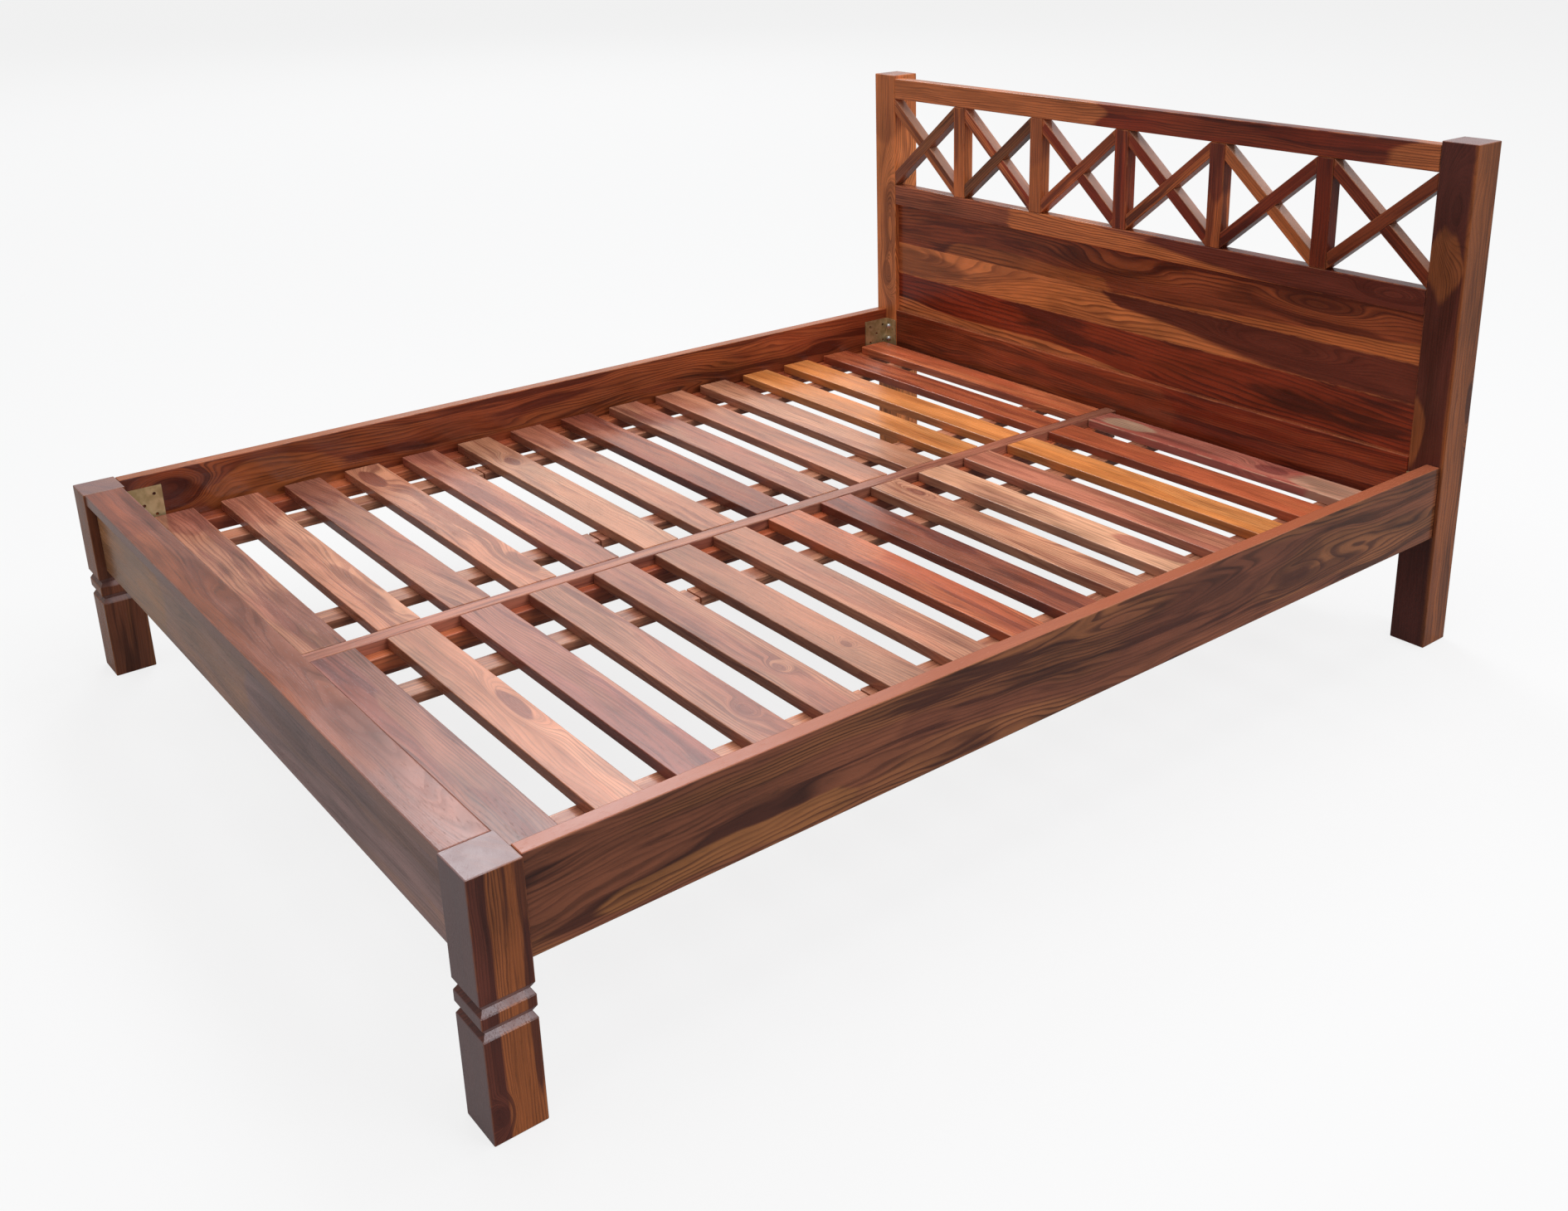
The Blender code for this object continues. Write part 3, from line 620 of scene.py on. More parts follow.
def with_alpha(colour, lift=1.0):
    """A colour of three numbers, made lighter or darker, as Blender's four."""
    return (*(min(value * lift, BRIGHTEST) for value in colour), 1.0)


def place_group(tree, group, **values):
    """A group in a material's tree, with values by input name."""
    terms = {name.replace("_", " "): value for name, value in values.items()}
    return add_node(tree, "Group", terms, node_tree=group)


def board_place(tree, middle, rows):
    """The board's own coordinates, from its middle and its grain direction."""
    turn = Matrix(rows)
    source = tree.nodes.new("ShaderNodeTexCoord").outputs["Object"]
    terms = {"Vector": source, "Rotation": turn.to_euler(), "Location": -(turn @ middle)}
    return add_node(tree, "Mapping", terms)["Vector"]


def lacquered(name, middle, half, rows, tone, seed, look):
    """One board's finish. A look has figure values, some of them grouped by band or knot, and
    values that hold for the whole board."""
    board = {key: look.get(key, start) for key, start in BOARD_START.items()}
    figure = dict(FIGURE_START)
    for key, value in look.items():
        if isinstance(value, dict):
            figure.update({f"{key}_{part}": number for part, number in value.items()})
        elif key not in board:
            figure[key] = value
    material, tree, surface = new_finish(name)
    place = board_place(tree, middle, rows)
    heart, streak, sap = [with_alpha(colour, board["lift"]) for colour in TONES[tone]]
    figured = place_group(
        tree, figure_group, Place=place, Seed=seed, Heart=heart, Streak=streak, Sap=sap,
        **figure)
    board_masks = place_group(tree, arris_group, Place=place, Half_Size=half, Seed=seed)
    crown_tint = with_alpha(board["crown_tone"]) if board["crown_tone"] else sap
    heel_tint = with_alpha(board["heel_tone"]) if board["heel_tone"] else streak
    sheen_tint = with_alpha(END_AND_GROOVE_SHEEN)
    colour = figured["Color"]
    # Crown, heel, end and sunk tints paint light and shade on the boards that ask for them; the
    # arris tint is rubbed wear with a painted highlight.
    for mask, share, tint in (
        ("Crown", board["crown"], crown_tint), ("Heel", board["heel"], heel_tint),
        ("End", board["end"], sheen_tint), ("Sunk", board["sunk"], sheen_tint),
        ("Arris", ARRIS_WEAR_AND_HIGHLIGHT, sap),
    ):
        if share:
            colour = blended(tree, times(tree, board_masks[mask], share), colour, tint)
    tree.links.new(colour, surface.inputs["Base Color"])
    dull = sums(tree, "ADD", figured["Roughness"], times(tree, board_masks["Arris"], ARRIS_DULL))
    tree.links.new(dull, surface.inputs["Roughness"])
    surface.inputs["Specular IOR Level"].default_value = LACQUER_SPECULAR
    bump = add_node(tree, "Bump", {
        "Strength": board["pores"], "Distance": GRAIN_DEPTH, "Height": figured["Height"]})
    tree.links.new(bump["Normal"], surface.inputs["Normal"])
    return material


def dress(obj, material):
    """Gives an object one material in all its slots."""
    if obj.material_slots:
        for slot in obj.material_slots:
            slot.material = material
    else:
        obj.data.materials.append(material)


def finish_board(node, grain, tone, seed, **look):
    """Finishes a CAD board in place. Figure values use input names with underscores."""
    low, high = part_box(node)
    turn = Matrix(GRAIN[grain])
    half = Vector([abs(value) for value in turn @ ((high - low) / 2)])
    dress(nodes[node], lacquered(
        node + "_wood", (low + high) / 2, half, GRAIN[grain], tone, seed, look))


print("tones:", ", ".join(sorted(TONES)))

# %% [markdown]
# ## The slat deck
#
# Thirty slats lie in two rows, sawn from many logs. In the left row they go from rosy plum at the
# foot to bright orange near the head, and the right row has the boldest figure: a dark eye on the
# second slat, a swirl on the tenth, purple stripes on the eleventh. Each slat is one
# entry in a table, read from foot to head.

# %% Slats
# The dark bands near the left ends of the left row are painted shade, next to the left rail.
LEFT_SLATS = [
    ("rose", dict(Ring_Width=0.03, lift=1.06, Core=dict(Half=0.06, To=-0.25, Share=0.6))),
    ("tan", dict(lift=1.2, Core=dict(Half=0.06, To=-0.20, Share=0.6),
        Knot=dict(Place=(0.21, 0.010, 0.0), Size=(0.14, 0.015, 0.08), Rings=1.5, Share=0.65))),
    ("rose", dict(Zones=0.5, Tilt=0.10, lift=0.92, Core=dict(Half=0.06, To=-0.22, Share=0.5))),
    ("tan", dict(lift=1.12,
        Knot=dict(Place=(-0.31, -0.012, 0.0), Size=(0.065, 0.020, 0.08), Rings=1.5, Share=0.95),
        Eye=dict(Place=(0.30, 0.022, 0.0), Size=(0.06, 0.016, 0.08), Rings=1.5, Share=0.75))),
    ("rose", dict(lift=1.14, Core=dict(Half=0.06, To=-0.30, Share=0.6))),
    ("peach", dict(Streaks=0.55, lift=0.82,
        Knot=dict(Place=(-0.21, 0.0, 0.0), Size=(0.03, 0.014, 0.05), Rings=2.0, Share=0.85))),
    ("tan", dict(lift=0.82, Core=dict(Half=0.06, To=-0.20, Share=0.6),
        Sap=dict(Line=0.015, Half=0.009, From=-0.12, To=0.20, Share=0.7))),
    ("cherry", dict(lift=0.84, Core=dict(Half=0.06, To=-0.25, Share=0.5))),
    ("rose", dict(Core=dict(Half=0.06, From=-0.32, To=-0.18, Share=0.5))),
    ("tan", dict(Zones=0.3, Streaks=0.5, lift=1.12)),
    ("peach", dict(Streaks=0.4, lift=0.98)),
    ("amber", dict(Streaks=0.35)),
    ("amber", dict(Zones=0.3, Streaks=0.35, lift=1.18)),
    ("russet", dict(Zones=0.3, lift=1.18)),
    ("russet", dict(Zones=0.8, Streaks=0.5, lift=1.5)),
]
RIGHT_SLATS = [
    ("plum", dict(lift=0.9, Sap=dict(Half=0.013, From=-0.22, To=0.15, Share=0.7))),
    ("tan", dict(Streaks=0.3, Zones=0.5,
        Knot=dict(Place=(-0.05, 0.016, 0.0), Size=(0.065, 0.012, 0.05), Rings=2.2, Share=0.95))),
    ("plum", dict(Zones=0.5,
        Sap=dict(Line=0.038, Half=0.017, From=-0.12, To=0.18, Share=0.95))),
    ("rose", dict(Zones=0.45, lift=0.9,
        Knot=dict(Place=(0.197, 0.012, 0.0), Size=(0.02, 0.010, 0.03), Rings=2.2, Share=0.85))),
    ("rose", dict(lift=0.88,
        Knot=dict(Place=(0.12, 0.0, 0.0), Size=(0.018, 0.009, 0.03), Rings=2.5, Share=0.7))),
    ("tan", dict(Streaks=0.4, lift=0.82,
        Knot=dict(Place=(0.127, 0.0, 0.0), Size=(0.014, 0.007, 0.03), Rings=1.5, Share=0.7))),
    ("tan", dict(Streaks=0.55, Lines=0.6)),
    ("russet", dict(Zones=0.5, lift=1.05, Sap=dict(Half=0.06, To=-0.10, Share=0.5))),
    ("cherry", dict(Zones=0.35, Streaks=0.85, Lines=0.7, lift=0.95,
        Core=dict(Line=0.03, Half=0.018, From=-0.16, To=0.0, Share=0.8))),
    ("peach", dict(Streaks=0.6, Ring_Width=0.03, Lines=0.7, lift=0.92,
        Knot=dict(Place=(-0.20, 0.014, 0.0), Size=(0.20, 0.015, 0.08), Rings=1.2, Share=0.4),
        Eye=dict(Place=(-0.317, 0.016, 0.0), Size=(0.03, 0.010, 0.05), Rings=1.0, Share=0.85))),
    ("honey", dict(Streaks=0.45, Ring_Width=0.034, Lines=0.3,
        Core=dict(Slope=0.08, Half=0.022, From=0.11, To=0.29, Share=0.8))),
    ("rose", dict(Zones=0.3, Streaks=0.45, lift=1.3)),
    ("amber", dict(Streaks=0.3, lift=1.12)),
    ("russet", dict(Zones=0.3, lift=1.12)),
    ("berry", dict(Zones=0.15, lift=1.3,
        Sap=dict(Half=0.024, From=-0.385, To=-0.24, Share=0.9),
        Knot=dict(Place=(0.09, 0.0, 0.0), Size=(0.045, 0.020, 0.04), Rings=1.5, Share=0.8),
        Flame=dict(Half=0.06, From=0.15, Share=0.6))),
]
# The heel is each slat's front edge, which faces the foot; darkening it paints the shade in the
# gaps between slats.
SLAT_EDGE_PAINTED_SHADE = 0.45
SLAT_SEED_STEP = 1.37
RIGHT_SEED_START = 31.0
for row, slats in (("left", LEFT_SLATS), ("right", RIGHT_SLATS)):
    for count, (tone, look) in enumerate(slats, 1):
        seed = SLAT_SEED_STEP * count + (RIGHT_SEED_START if row == "right" else 0.0)
        finish_board(
            f"slat_{row}_{count:02d}", "across_flat", tone, seed, heel=SLAT_EDGE_PAINTED_SHADE, **look)
print("slats finished:", len(LEFT_SLATS) + len(RIGHT_SLATS))

# %% [markdown]
# ## Battens, ledgers and the centre beam
#
# Battens tie each set of slats together from below. Ledgers are the strips along the rails and the
# beam that carry the slats. They show in the gaps as short bright bars, so they get the
# paler, plainer wood of offcuts.

# %% Supports
SUPPORT_SEED_START = 70.0
SUPPORT_SEED_STEP = 1.9
seed = SUPPORT_SEED_START
for node in sorted(nodes):
    if node.startswith("batten"):
        seed += SUPPORT_SEED_STEP
        finish_board(node, "along_flat", "tan", seed, Streaks=0.6)
    elif "ledger" in node:
        seed += SUPPORT_SEED_STEP
        finish_board(node, "along_flat", "russet", seed)
finish_board("centre_beam", "along_flat", "rose", 64.0, Zones=0.3, Ring_Width=0.012)
print("supports finished")

# %% [markdown]
# ## Side rails
#
# The rails are wide boards on edge. The right one faces us: brown, with fine dark lines all along,
# a golden patch low at the foot, dark tongues in the middle and plainer wood at the head. The left
# one shows its inner face, which is redder, with a swirl at the foot.

# %% Rails
# The crown tints paint light on the tops of both rails: the paler top stands in for the light and
# sheen from above.
finish_board(
    "side_rail_right", "along_on_edge", "walnut", 12.0, Streaks=0.9, Zones=0.5, Lines=0.8,
    Ring_Width=0.030, Wander=0.12, lift=0.92, crown=0.9, crown_tone=(0.46, 0.130, 0.062),
    Sap=dict(Line=-0.043, Half=0.017, From=-0.90, To=-0.48, Share=0.9),
    Core=dict(Line=0.012, Half=0.042, From=-0.40, To=0.62, Share=0.34),
    Flame=dict(Half=0.12, From=0.62, Share=0.12),
    Knot=dict(Place=(0.27, 0.026, 0.0), Size=(0.14, 0.022, 0.06), Rings=1.6, Share=0.5),
    Eye=dict(Place=(0.62, -0.036, 0.0), Size=(0.17, 0.017, 0.06), Rings=1.0, Share=0.6))
finish_board(
    "side_rail_left", "along_on_edge", "chestnut", 27.0, Streaks=0.75, Zones=0.3, Lines=0.7,
    Ring_Width=0.03, Wander=0.14, lift=0.82, crown=0.6,
    Sap=dict(Half=0.045, From=-0.85, To=-0.54, Share=0.6),
    Knot=dict(Place=(-0.91, 0.02, 0.0), Size=(0.05, 0.03, 0.06), Rings=3.0, Share=0.6))
print("rails finished")

# %% [markdown]
# ## Footboard and legs
#
# The footboard is a flat cap over a plain board, held between two square legs with a pair of
# grooves. The legs' grain stands upright, and their tops show end grain. The pale lavender-grey
# on the legs' tops and on the faces of their grooves is painted sheen.

# %% Foot end
# On the cap, the pale heel tint paints sheen on the front face, the pale bands towards the right
# end paint sheen on the top with the tone's grey-pink sap, and the dark band at the left end is
# painted shade.
finish_board(
    "foot_cap", "across_flat", "bark_with_sheen", 41.0, Streaks=0.5, Zones=0.25, Lines=0.5, lift=1.06,
    heel=0.7, heel_tone=(0.44, 0.250, 0.200), Core=dict(Half=0.10, To=-0.50, Share=0.5),
    Sap=dict(Half=0.10, From=0.34, Share=0.25), Flame=dict(Half=0.10, From=0.56, Share=0.3),
    Knot=dict(Place=(0.36, 0.002, 0.0), Size=(0.27, 0.020, 0.05), Rings=2.0, Share=0.28))
# The grey of the panel's right part is painted sheen from the slate tone.
finish_board(
    "foot_panel", "across_on_edge", "slate_with_sheen", 44.0, Streaks=0.5, Zones=0.2, lift=1.2, Lines=0.4,
    Sap=dict(Half=0.30, To=-0.38, Share=0.5), Flame=dict(Half=0.30, To=0.05, Share=0.3))
# On this leg the crown tint paints a lavender-grey reflection on the front face, and the end and
# sunk tints paint sheen on its top and its groove faces.
finish_board(
    "foot_leg_right", "upright_front", "bronze", 47.0, Streaks=0.75, Zones=0.5, Lines=0.75,
    Ring_Width=0.016, Wander=0.02, end=0.85, sunk=0.75, lift=1.05, crown=0.75,
    crown_tone=(0.29, 0.190, 0.190), Core=dict(Line=0.042, Half=0.030, Share=0.92),
    Knot=dict(Place=(-0.157, 0.024, 0.038), Size=(0.016, 0.010, 0.10), Rings=2.0, Share=0.8),
    Eye=dict(Place=(-0.02, -0.033, 0.038), Size=(0.14, 0.009, 0.10), Share=0.85))
finish_board(
    "foot_leg_left", "upright_front", "walnut", 49.0, Streaks=0.6, Ring_Width=0.02, Wander=0.02,
    end=0.6, sunk=0.4, lift=0.8, crown=0.7, crown_tone=(0.40, 0.110, 0.020))
print("foot end finished")

# %% [markdown]
# ## Headboard frame
#
# Two posts and three rails hold the panel and the lattice. Each rail changes its colour along its
# length where the saw passed from sapwood into the dark core, and the right post is dark in front
# and golden on its side, because its two faces were cut on different sides of the core.

# %% Rails and posts of the head
finish_board(
    "head_mid_rail", "across_on_edge", "cocoa", 55.0, Streaks=0.6, Zones=0.1, Lines=0.7,
    Wander=0.03, Sap=dict(Line=-0.038, Slope=-0.107, Half=0.060, From=-0.36, Share=0.92),
    Core=dict(Half=0.06, From=0.08, Share=0.85),
    Knot=dict(Place=(0.72, 0.0, -0.016), Size=(0.05, 0.012, 0.05), Rings=3.0, Share=0.2))
finish_board(
    "head_top_rail", "across_on_edge", "oxblood", 57.0, Streaks=0.6, Zones=0.1, Lines=0.6,
    Wander=0.04, lift=0.9, Sap=dict(Half=0.06, To=-0.06, Share=0.88),
    Flame=dict(Line=-0.02, Half=0.06, From=0.67, Share=0.75),
    Core=dict(Half=0.04, From=0.54, To=0.70, Share=0.3))
# The crown tint paints a paler top on this rail: painted highlight.
finish_board(
    "head_lower_rail", "across_on_edge", "oxblood", 59.0, Zones=0.12, Lines=0.6, crown=0.25,
    Sap=dict(Half=0.30, To=0.2, Share=0.10))
# The end tints of both posts paint sheen on their tops.
finish_board(
    "head_post_left", "upright", "gold", 61.0, Streaks=0.40, Zones=0.4, Lines=0.5, Wander=0.04,
    Ring_Width=0.018, lift=1.25, end=0.5, Core=dict(Half=0.08, From=0.33, Share=0.3),
    Knot=dict(Place=(0.12, 0.006, -0.0385), Size=(0.10, 0.024, 0.10), Rings=4.0, Share=0.22),
    Eye=dict(Place=(-0.02, 0.0, -0.0385), Size=(0.035, 0.018, 0.10), Rings=3.0, Share=0.4))
finish_board(
    "head_post_right", "upright", "bronze", 66.0, Streaks=0.35, Zones=0.3, Wander=0.012, end=0.8,
    lift=0.95, Core=dict(Line=-0.012, Half=0.047, Share=1.0),
    Sap=dict(Line=-0.008, Half=0.060, From=0.21, To=0.345, Share=0.8),
    Flame=dict(Line=-0.036, Half=0.026, From=-0.12, To=0.01, Share=0.8),
    Knot=dict(Place=(0.0, 0.0385, 0.028), Size=(0.045, 0.016, 0.010), Rings=2.0, Share=0.75),
    Eye=dict(Place=(0.39, -0.004, -0.0385), Size=(0.06, 0.022, 0.04), Rings=3.0, Share=0.3))
print("head frame finished")

# %% [markdown]
# ## Closed pieces from outlines
#
# The headboard has more pieces than its solids show, all of them flat shapes of one thickness. So
# one helper draws an outline and pulls it to depth, another turns modifiers into plain mesh,
# and a last one eases the arrises with a small bevel.

# %% Prisms


def piece_from(solid, name):
    """An object from finished faces, all turned outwards."""
    bmesh.ops.recalc_face_normals(solid, faces=solid.faces[:])
    mesh = bpy.data.meshes.new(name)
    solid.to_mesh(mesh)
    solid.free()
    return new_object(name, mesh)


def prism(name, outline, front, back):
    """A closed prism from an outline in X and Z, between two depths."""
    solid = bmesh.new()
    near = [solid.verts.new((x, front, z)) for x, z in outline]
    face = solid.faces.new(near)
    pulled = bmesh.ops.extrude_face_region(solid, geom=[face])["geom"]
    moved = [item for item in pulled if isinstance(item, bmesh.types.BMVert)]
    bmesh.ops.translate(solid, vec=(0.0, back - front, 0.0), verts=moved)
    return piece_from(solid, name)


def settle(piece):
    """Turns a piece's modifiers into its mesh."""
    graph = bpy.context.evaluated_depsgraph_get()
    mesh = bpy.data.meshes.new_from_object(piece.evaluated_get(graph))
    piece.modifiers.clear()
    piece.data = mesh


def ease(piece, width):
    """Rounds a piece's arrises a little."""
    change = piece.modifiers.new("ease", "BEVEL")
    change.width = width
    change.segments = 2
    change.limit_method = "ANGLE"
    settle(piece)


print("prism helpers ready")

# %% [markdown]
# ## Panel staves
#
# A panel this wide is glued up from narrower staves, and here the joints are easy to find because
# the figure stops at them. The top stave is red-brown with swirls. The middle one starts with a
# ringed oval, turns gold, and then meets a dark core. The lowest one has fine dark lines that
# fall to the right. The CAD keeps one solid panel, so each stave is a box of its own here, with
# just enough of a bevel to show the joint as a hairline.

# %% Three staves
STAVE_JOINTS = (0.500, 0.5836)
STAVE_EASE = 0.0003
STAVES = [
    ("oxblood", 120.0, dict(Streaks=0.85, Zones=0.0, Lines=0.85, Ring_Width=0.044, Wander=0.05,
        Tilt=-0.04, lift=1.12, Sap=dict(Line=-0.050, Half=0.0046, Taper=-10.0, Share=0.95))),
    ("gold", 124.0, dict(Streaks=0.35, Zones=0.5, Lines=0.6, Ring_Width=0.030, Wander=0.05,
        Core=dict(Line=0.042, Half=0.034, Taper=3.6, From=-0.06, Share=0.94),
        Knot=dict(Place=(-0.74, -0.004, 0.0), Size=(0.21, 0.036, 0.08), Rings=2.6, Share=0.45),
        Eye=dict(Place=(0.46, 0.008, 0.0), Size=(0.10, 0.014, 0.05), Rings=2.0, Share=0.1))),
    # The dark band along the top of this stave, under the mid rail, is partly dark wood and partly
    # painted shade.
    ("chestnut", 127.0, dict(Streaks=0.65, Zones=0.25, Lines=0.7, Ring_Width=0.034, lift=0.88,
        Sap=dict(Line=-0.056, Half=0.0048, Taper=10.0, From=-0.02, Share=0.9),
        Flame=dict(Line=-0.046, Half=0.024, From=-0.60, To=-0.02, Share=0.8),
        Core=dict(Line=0.052, Half=0.012, From=-0.30, Share=0.5),
        Knot=dict(Place=(-0.01, 0.006, 0.0), Size=(0.10, 0.020, 0.08), Rings=1.1),
        Eye=dict(Place=(0.55, 0.014, 0.0), Size=(0.08, 0.014, 0.08), Rings=1.3))),
]
panel_low, panel_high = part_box("head_panel")
stave_edges = [panel_low.z, *STAVE_JOINTS, panel_high.z]
for count, (tone, seed, look) in enumerate(STAVES):
    bottom, top = stave_edges[count], stave_edges[count + 1]
    outline = [
        (panel_low.x, bottom), (panel_high.x, bottom), (panel_high.x, top), (panel_low.x, top)]
    stave = prism(f"head_panel_stave_{count + 1}", outline, panel_low.y, panel_high.y)
    ease(stave, STAVE_EASE)
    middle = Vector((0.0, (panel_low.y + panel_high.y) / 2, (bottom + top) / 2))
    half = Vector((panel_high.x, (top - bottom) / 2, (panel_high.y - panel_low.y) / 2))
    dress(stave, lacquered(
        stave.name + "_wood", middle, half, GRAIN["across_on_edge"], tone, seed, look))
    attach(stave, "frame")
    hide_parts("head_panel")
print("staves:", len(STAVES), "joints at", STAVE_JOINTS)

# %% [markdown]
# ## Lattice sticks
#
# The lattice is glued up from five mullions and six crosses. In each cross the rising bar runs
# through in front and the falling bar behind, cut to half their depth where they meet: a
# half-lap. The CAD keeps the lattice as one solid, but each stick was sawn with its own grain, so
# here every stick is its own mesh, with the lap cut by a Boolean and the arrises eased.

# %% Lattice measures
MULLIONS = 5
MULLION_WIDTH = 0.039
BAR_UPRIGHT = 0.035
STICK_EASE = 0.0012
LAP_CLEARANCE = 0.0001
BAR_SETBACK = 0.0006
low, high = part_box("head_lattice")
bay_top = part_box("head_top_rail")[0].z
bay_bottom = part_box("head_mid_rail")[1].z
post_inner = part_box("head_post_right")[0].x
stick_front, stick_back = low.y, high.y
bay_width = (2 * post_inner - MULLIONS * MULLION_WIDTH) / (MULLIONS + 1)
bay_left = [-post_inner + count * (bay_width + MULLION_WIDTH) for count in range(MULLIONS + 1)]
print("bay", round(bay_width, 4), "x", round(bay_top - bay_bottom, 4))

# %% Lap and lay a stick


def notch(stick, cutter):
    """Takes a cutter out of a stick and deletes the cutter."""
    change = stick.modifiers.new("lap", "BOOLEAN")
    change.operation = "DIFFERENCE"
    change.solver = "EXACT"
    change.object = cutter
    settle(stick)
    bpy.data.objects.remove(cutter)


def bar_outline(left, right, rising, spare=0.0):
    """A slanted bar's corners: upright ends in opposite corners of a bay."""
    start, end = bay_bottom, bay_top - BAR_UPRIGHT
    if not rising:
        start, end = end, start
    return [
        (left, start - spare), (right, end - spare),
        (right, end + BAR_UPRIGHT + spare), (left, start + BAR_UPRIGHT + spare),
    ]


def stick_finish(stick, along, length, width, tone, seed, **look):
    """Lays grain along a stick in the plane of the headboard."""
    across = Vector((-along.z, 0.0, along.x))
    rows = (tuple(along), tuple(across), (0.0, -1.0, 0.0))
    corners = [Vector(corner) for corner in stick.bound_box]
    middle = sum(corners, Vector()) / len(corners)
    half = Vector((length / 2, width / 2, (stick_back - stick_front) / 2))
    dress(stick, lacquered(stick.name + "_wood", middle, half, rows, tone, seed, look))
    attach(stick, "frame")
    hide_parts("head_lattice")


print("stick helpers ready")

# %% Build the mullions and crosses
DARK_TOP = dict(Half=0.06, From=0.0)
MULLION_LOOKS = [
    ("bronze", 1.85, {}), ("bronze", 1.3, dict(Core=dict(Share=0.35, **DARK_TOP))),
    ("oxblood", 1.0, dict(Zones=0.2)),
    ("chestnut", 0.9, dict(Core=dict(Share=0.75, **DARK_TOP))), ("oxblood", 0.6, dict(Zones=0.1)),
]
RISING_LOOKS = [
    ("walnut", 1.0, {}), ("walnut", 0.68, {}),
    ("chestnut", 0.9, dict(Zones=0.4, Core=dict(Share=0.4, **DARK_TOP))), ("chestnut", 0.95, {}),
    ("oxblood", 0.75, dict(Zones=0.1)), ("chestnut", 0.7, dict(Zones=0.2)),
]
FALLING_LOOKS = [
    ("bronze", 1.6, {}), ("oxblood", 1.15, {}), ("oxblood", 1.15, {}),
    ("oxblood", 0.8, dict(Zones=0.2)), ("bronze", 1.6, {}), ("oxblood", 0.85, dict(Zones=0.1)),
]
STICK_FIGURE = dict(Wander=0.02, pores=0.03)
# The falling bars' upper faces are painted paler: painted light from above.
PAINTED_LIT_TOP = dict(crown=0.75, crown_tone=(0.50, 0.26, 0.17))
STICK_HAIR = 0.0002
CUTTER_SPARE = 0.01
MULLION_SEED_START, MULLION_SEED_STEP = 80, 2.3
BAR_SEED_START, BAR_SEED_STEP, BAR_SEED_WAY = 95, 1.7, 0.8
middle_depth = (stick_front + stick_back) / 2
upright = Vector((0.0, 0.0, 1.0))
for count in range(MULLIONS):
    left = bay_left[count] + bay_width
    right = left + MULLION_WIDTH
    bottom, top = bay_bottom + STICK_HAIR, bay_top - STICK_HAIR
    outline = [(left, bottom), (right, bottom), (right, top), (left, top)]
    stick = prism(f"lattice_mullion_{count + 1}", outline, stick_front, stick_back)
    ease(stick, STICK_EASE)
    tone, lift, look = MULLION_LOOKS[count]
    seed = MULLION_SEED_START + MULLION_SEED_STEP * count
    stick_finish(
        stick, upright, top - bottom, MULLION_WIDTH, tone, seed, lift=lift, **STICK_FIGURE, **look)
for count in range(MULLIONS + 1):
    left, right = bay_left[count] + STICK_HAIR, bay_left[count] + bay_width - STICK_HAIR
    front, back = stick_front + BAR_SETBACK, stick_back - BAR_SETBACK
    rising = prism(f"lattice_rising_{count + 1}", bar_outline(left, right, True), front, back)
    falling = prism(
        f"lattice_falling_{count + 1}", bar_outline(left, right, False),
        front + BAR_SETBACK, back + BAR_SETBACK / 2)
    notch(rising, prism(
        "lap_behind", bar_outline(left, right, False, LAP_CLEARANCE),
        middle_depth, back + CUTTER_SPARE))
    notch(falling, prism(
        "lap_before", bar_outline(left, right, True, LAP_CLEARANCE),
        front - CUTTER_SPARE, middle_depth + LAP_CLEARANCE))
    climb = bay_top - bay_bottom - BAR_UPRIGHT
    length = math.hypot(right - left, climb)
    width = BAR_UPRIGHT * (right - left) / length
    for stick, way, looks, painted_top_light in (
        (rising, 1, RISING_LOOKS, {}), (falling, -1, FALLING_LOOKS, PAINTED_LIT_TOP),
    ):
        ease(stick, STICK_EASE)
        along = Vector((right - left, 0.0, way * climb)).normalized()
        tone, lift, look = looks[count]
        seed = BAR_SEED_START + BAR_SEED_STEP * count + BAR_SEED_WAY * way
        stick_finish(
            stick, along, length, width, tone, seed, lift=lift, **STICK_FIGURE, **painted_top_light, **look)
print("lattice sticks:", MULLIONS + 2 * (MULLIONS + 1))

# %% [markdown]
# ## Corner plates and bolts
#
# Bent steel plates hold the rails to the posts. They are zinc plated and passivated, which gives
# a dull brassy skin with cloudy patches. Two bright bolts with washers go through each
# plate into the post.

# %% Plated steel
CLOUD_EDGE = (0.35, 0.65)
GLOSS_SPREAD = 0.08


def plated(name, pale, deep, roughness, cloud_size, metal):
    """A plated metal with cloudy tone and gloss."""
    material, tree, surface = new_finish(name)
    source = tree.nodes.new("ShaderNodeTexCoord")
    spots = cloud(tree, scaled(tree, source.outputs["Object"], cloud_size), detail=4.0)[0]
    mask = rise(tree, spots, *CLOUD_EDGE)
    colour = blended(tree, mask, with_alpha(pale), with_alpha(deep))
    tree.links.new(colour, surface.inputs["Base Color"])
    gloss = rise(tree, spots, *NOISE_SPAN, roughness - GLOSS_SPREAD, roughness + GLOSS_SPREAD)
    tree.links.new(gloss, surface.inputs["Roughness"])
    surface.inputs["Metallic"].default_value = metal
    return material


brassy_zinc = plated(
    "brassy_zinc", (0.66, 0.53, 0.29), (0.46, 0.35, 0.17),
    roughness=0.40, cloud_size=60.0, metal=0.5)
bright_zinc = plated(
    "bright_zinc", (0.80, 0.80, 0.82), (0.60, 0.60, 0.62),
    roughness=0.25, cloud_size=150.0, metal=1.0)
for node in nodes:
    if node.startswith("corner_bracket"):
        dress(nodes[node], brassy_zinc)
print("plates finished")

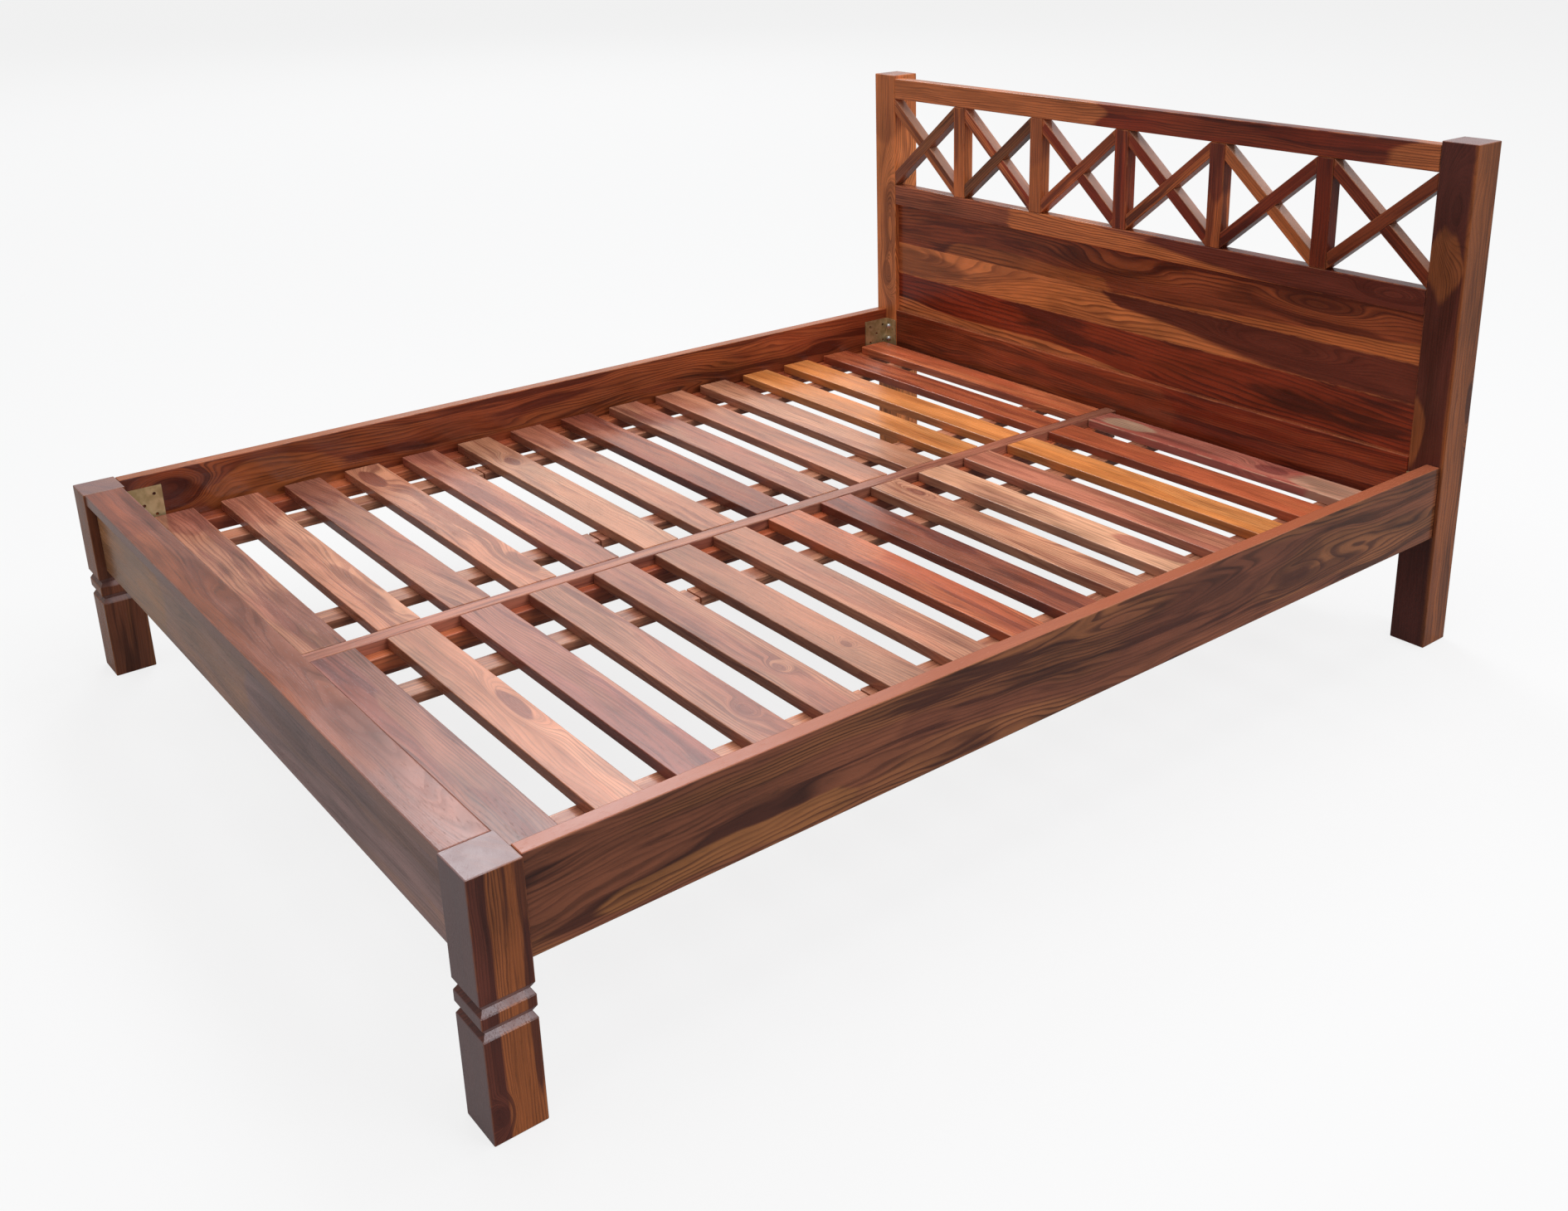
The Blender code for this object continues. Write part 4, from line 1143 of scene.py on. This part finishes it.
# %% Bolts
BOLT_RADIUS = 0.0068
BOLT_RISE = 0.0055
WASHER_RADIUS = 0.0088
WASHER_THICKNESS = 0.0014
BOLT_INSET = 0.013
BOLT_SPREAD = 0.0175
BOLT_SIDES = 28
NECK_OVER_HEAD = 1.02
DOME_START = 0.001
DOME_STEPS = 5
DOME_TURN = math.radians(75)
SOCKET_RIM = 1.5
SOCKET_FLOOR = 1.4
SOCKET_DEPTH = 0.0022
PLATE_THICKNESS = 0.003
BOLT_HAIR = 0.0001


def turned_profile(solid, profile, matrix):
    """Spins a profile of (radius, height) points round a bolt's axis."""
    rings = []
    for radius, height in profile:
        ring = []
        for step in range(BOLT_SIDES):
            turn = math.tau * step / BOLT_SIDES
            point = Vector((radius * math.cos(turn), radius * math.sin(turn), height))
            ring.append(solid.verts.new(matrix @ point))
        rings.append(ring)
    for lower, upper in zip(rings[:-1], rings[1:]):
        for step in range(BOLT_SIDES):
            after = (step + 1) % BOLT_SIDES
            solid.faces.new((lower[step], lower[after], upper[after], upper[step]))
    solid.faces.new(rings[0][::-1])
    solid.faces.new(rings[-1])


def bolt_profile():
    """Washer, step, and a domed head with a sunk socket."""
    points = [(WASHER_RADIUS, 0.0), (WASHER_RADIUS, WASHER_THICKNESS)]
    points.append((BOLT_RADIUS * NECK_OVER_HEAD, WASHER_THICKNESS))
    for step in range(DOME_STEPS + 1):
        turn = DOME_TURN * step / DOME_STEPS
        points.append((
            BOLT_RADIUS * math.cos(turn),
            WASHER_THICKNESS + DOME_START + (BOLT_RISE - DOME_START) * math.sin(turn)))
    socket, rim = BOLT_RADIUS * math.cos(DOME_TURN), points[-1][1]
    points.append((socket * SOCKET_RIM, rim))
    points.append((socket * SOCKET_FLOOR, rim - SOCKET_DEPTH))
    return points


def make_bolts(corner, x_sign, y_sign):
    """Two bolts on the post arm of one corner plate."""
    low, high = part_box(f"corner_bracket_{corner}")
    inner_x = high.x if x_sign > 0 else low.x
    face_y = high.y if y_sign > 0 else low.y
    middle_z = (low.z + high.z) / 2
    solid = bmesh.new()
    for lift in (-BOLT_SPREAD, BOLT_SPREAD):
        place = Vector((
            inner_x - x_sign * BOLT_INSET, face_y - y_sign * (PLATE_THICKNESS + BOLT_HAIR),
            middle_z + lift))
        turn = Vector((0.0, -y_sign, 0.0)).to_track_quat("Z", "X").to_matrix().to_4x4()
        turned_profile(solid, bolt_profile(), Matrix.Translation(place) @ turn)
    bolts = piece_from(solid, f"bolts_{corner}")
    dress(bolts, bright_zinc)
    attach(bolts, "frame")


for end, y_sign in (("foot", -1), ("head", 1)):
    for side, x_sign in (("left", -1), ("right", 1)):
        make_bolts(f"{end}_{side}", x_sign, y_sign)
print("bolts: two at each corner")
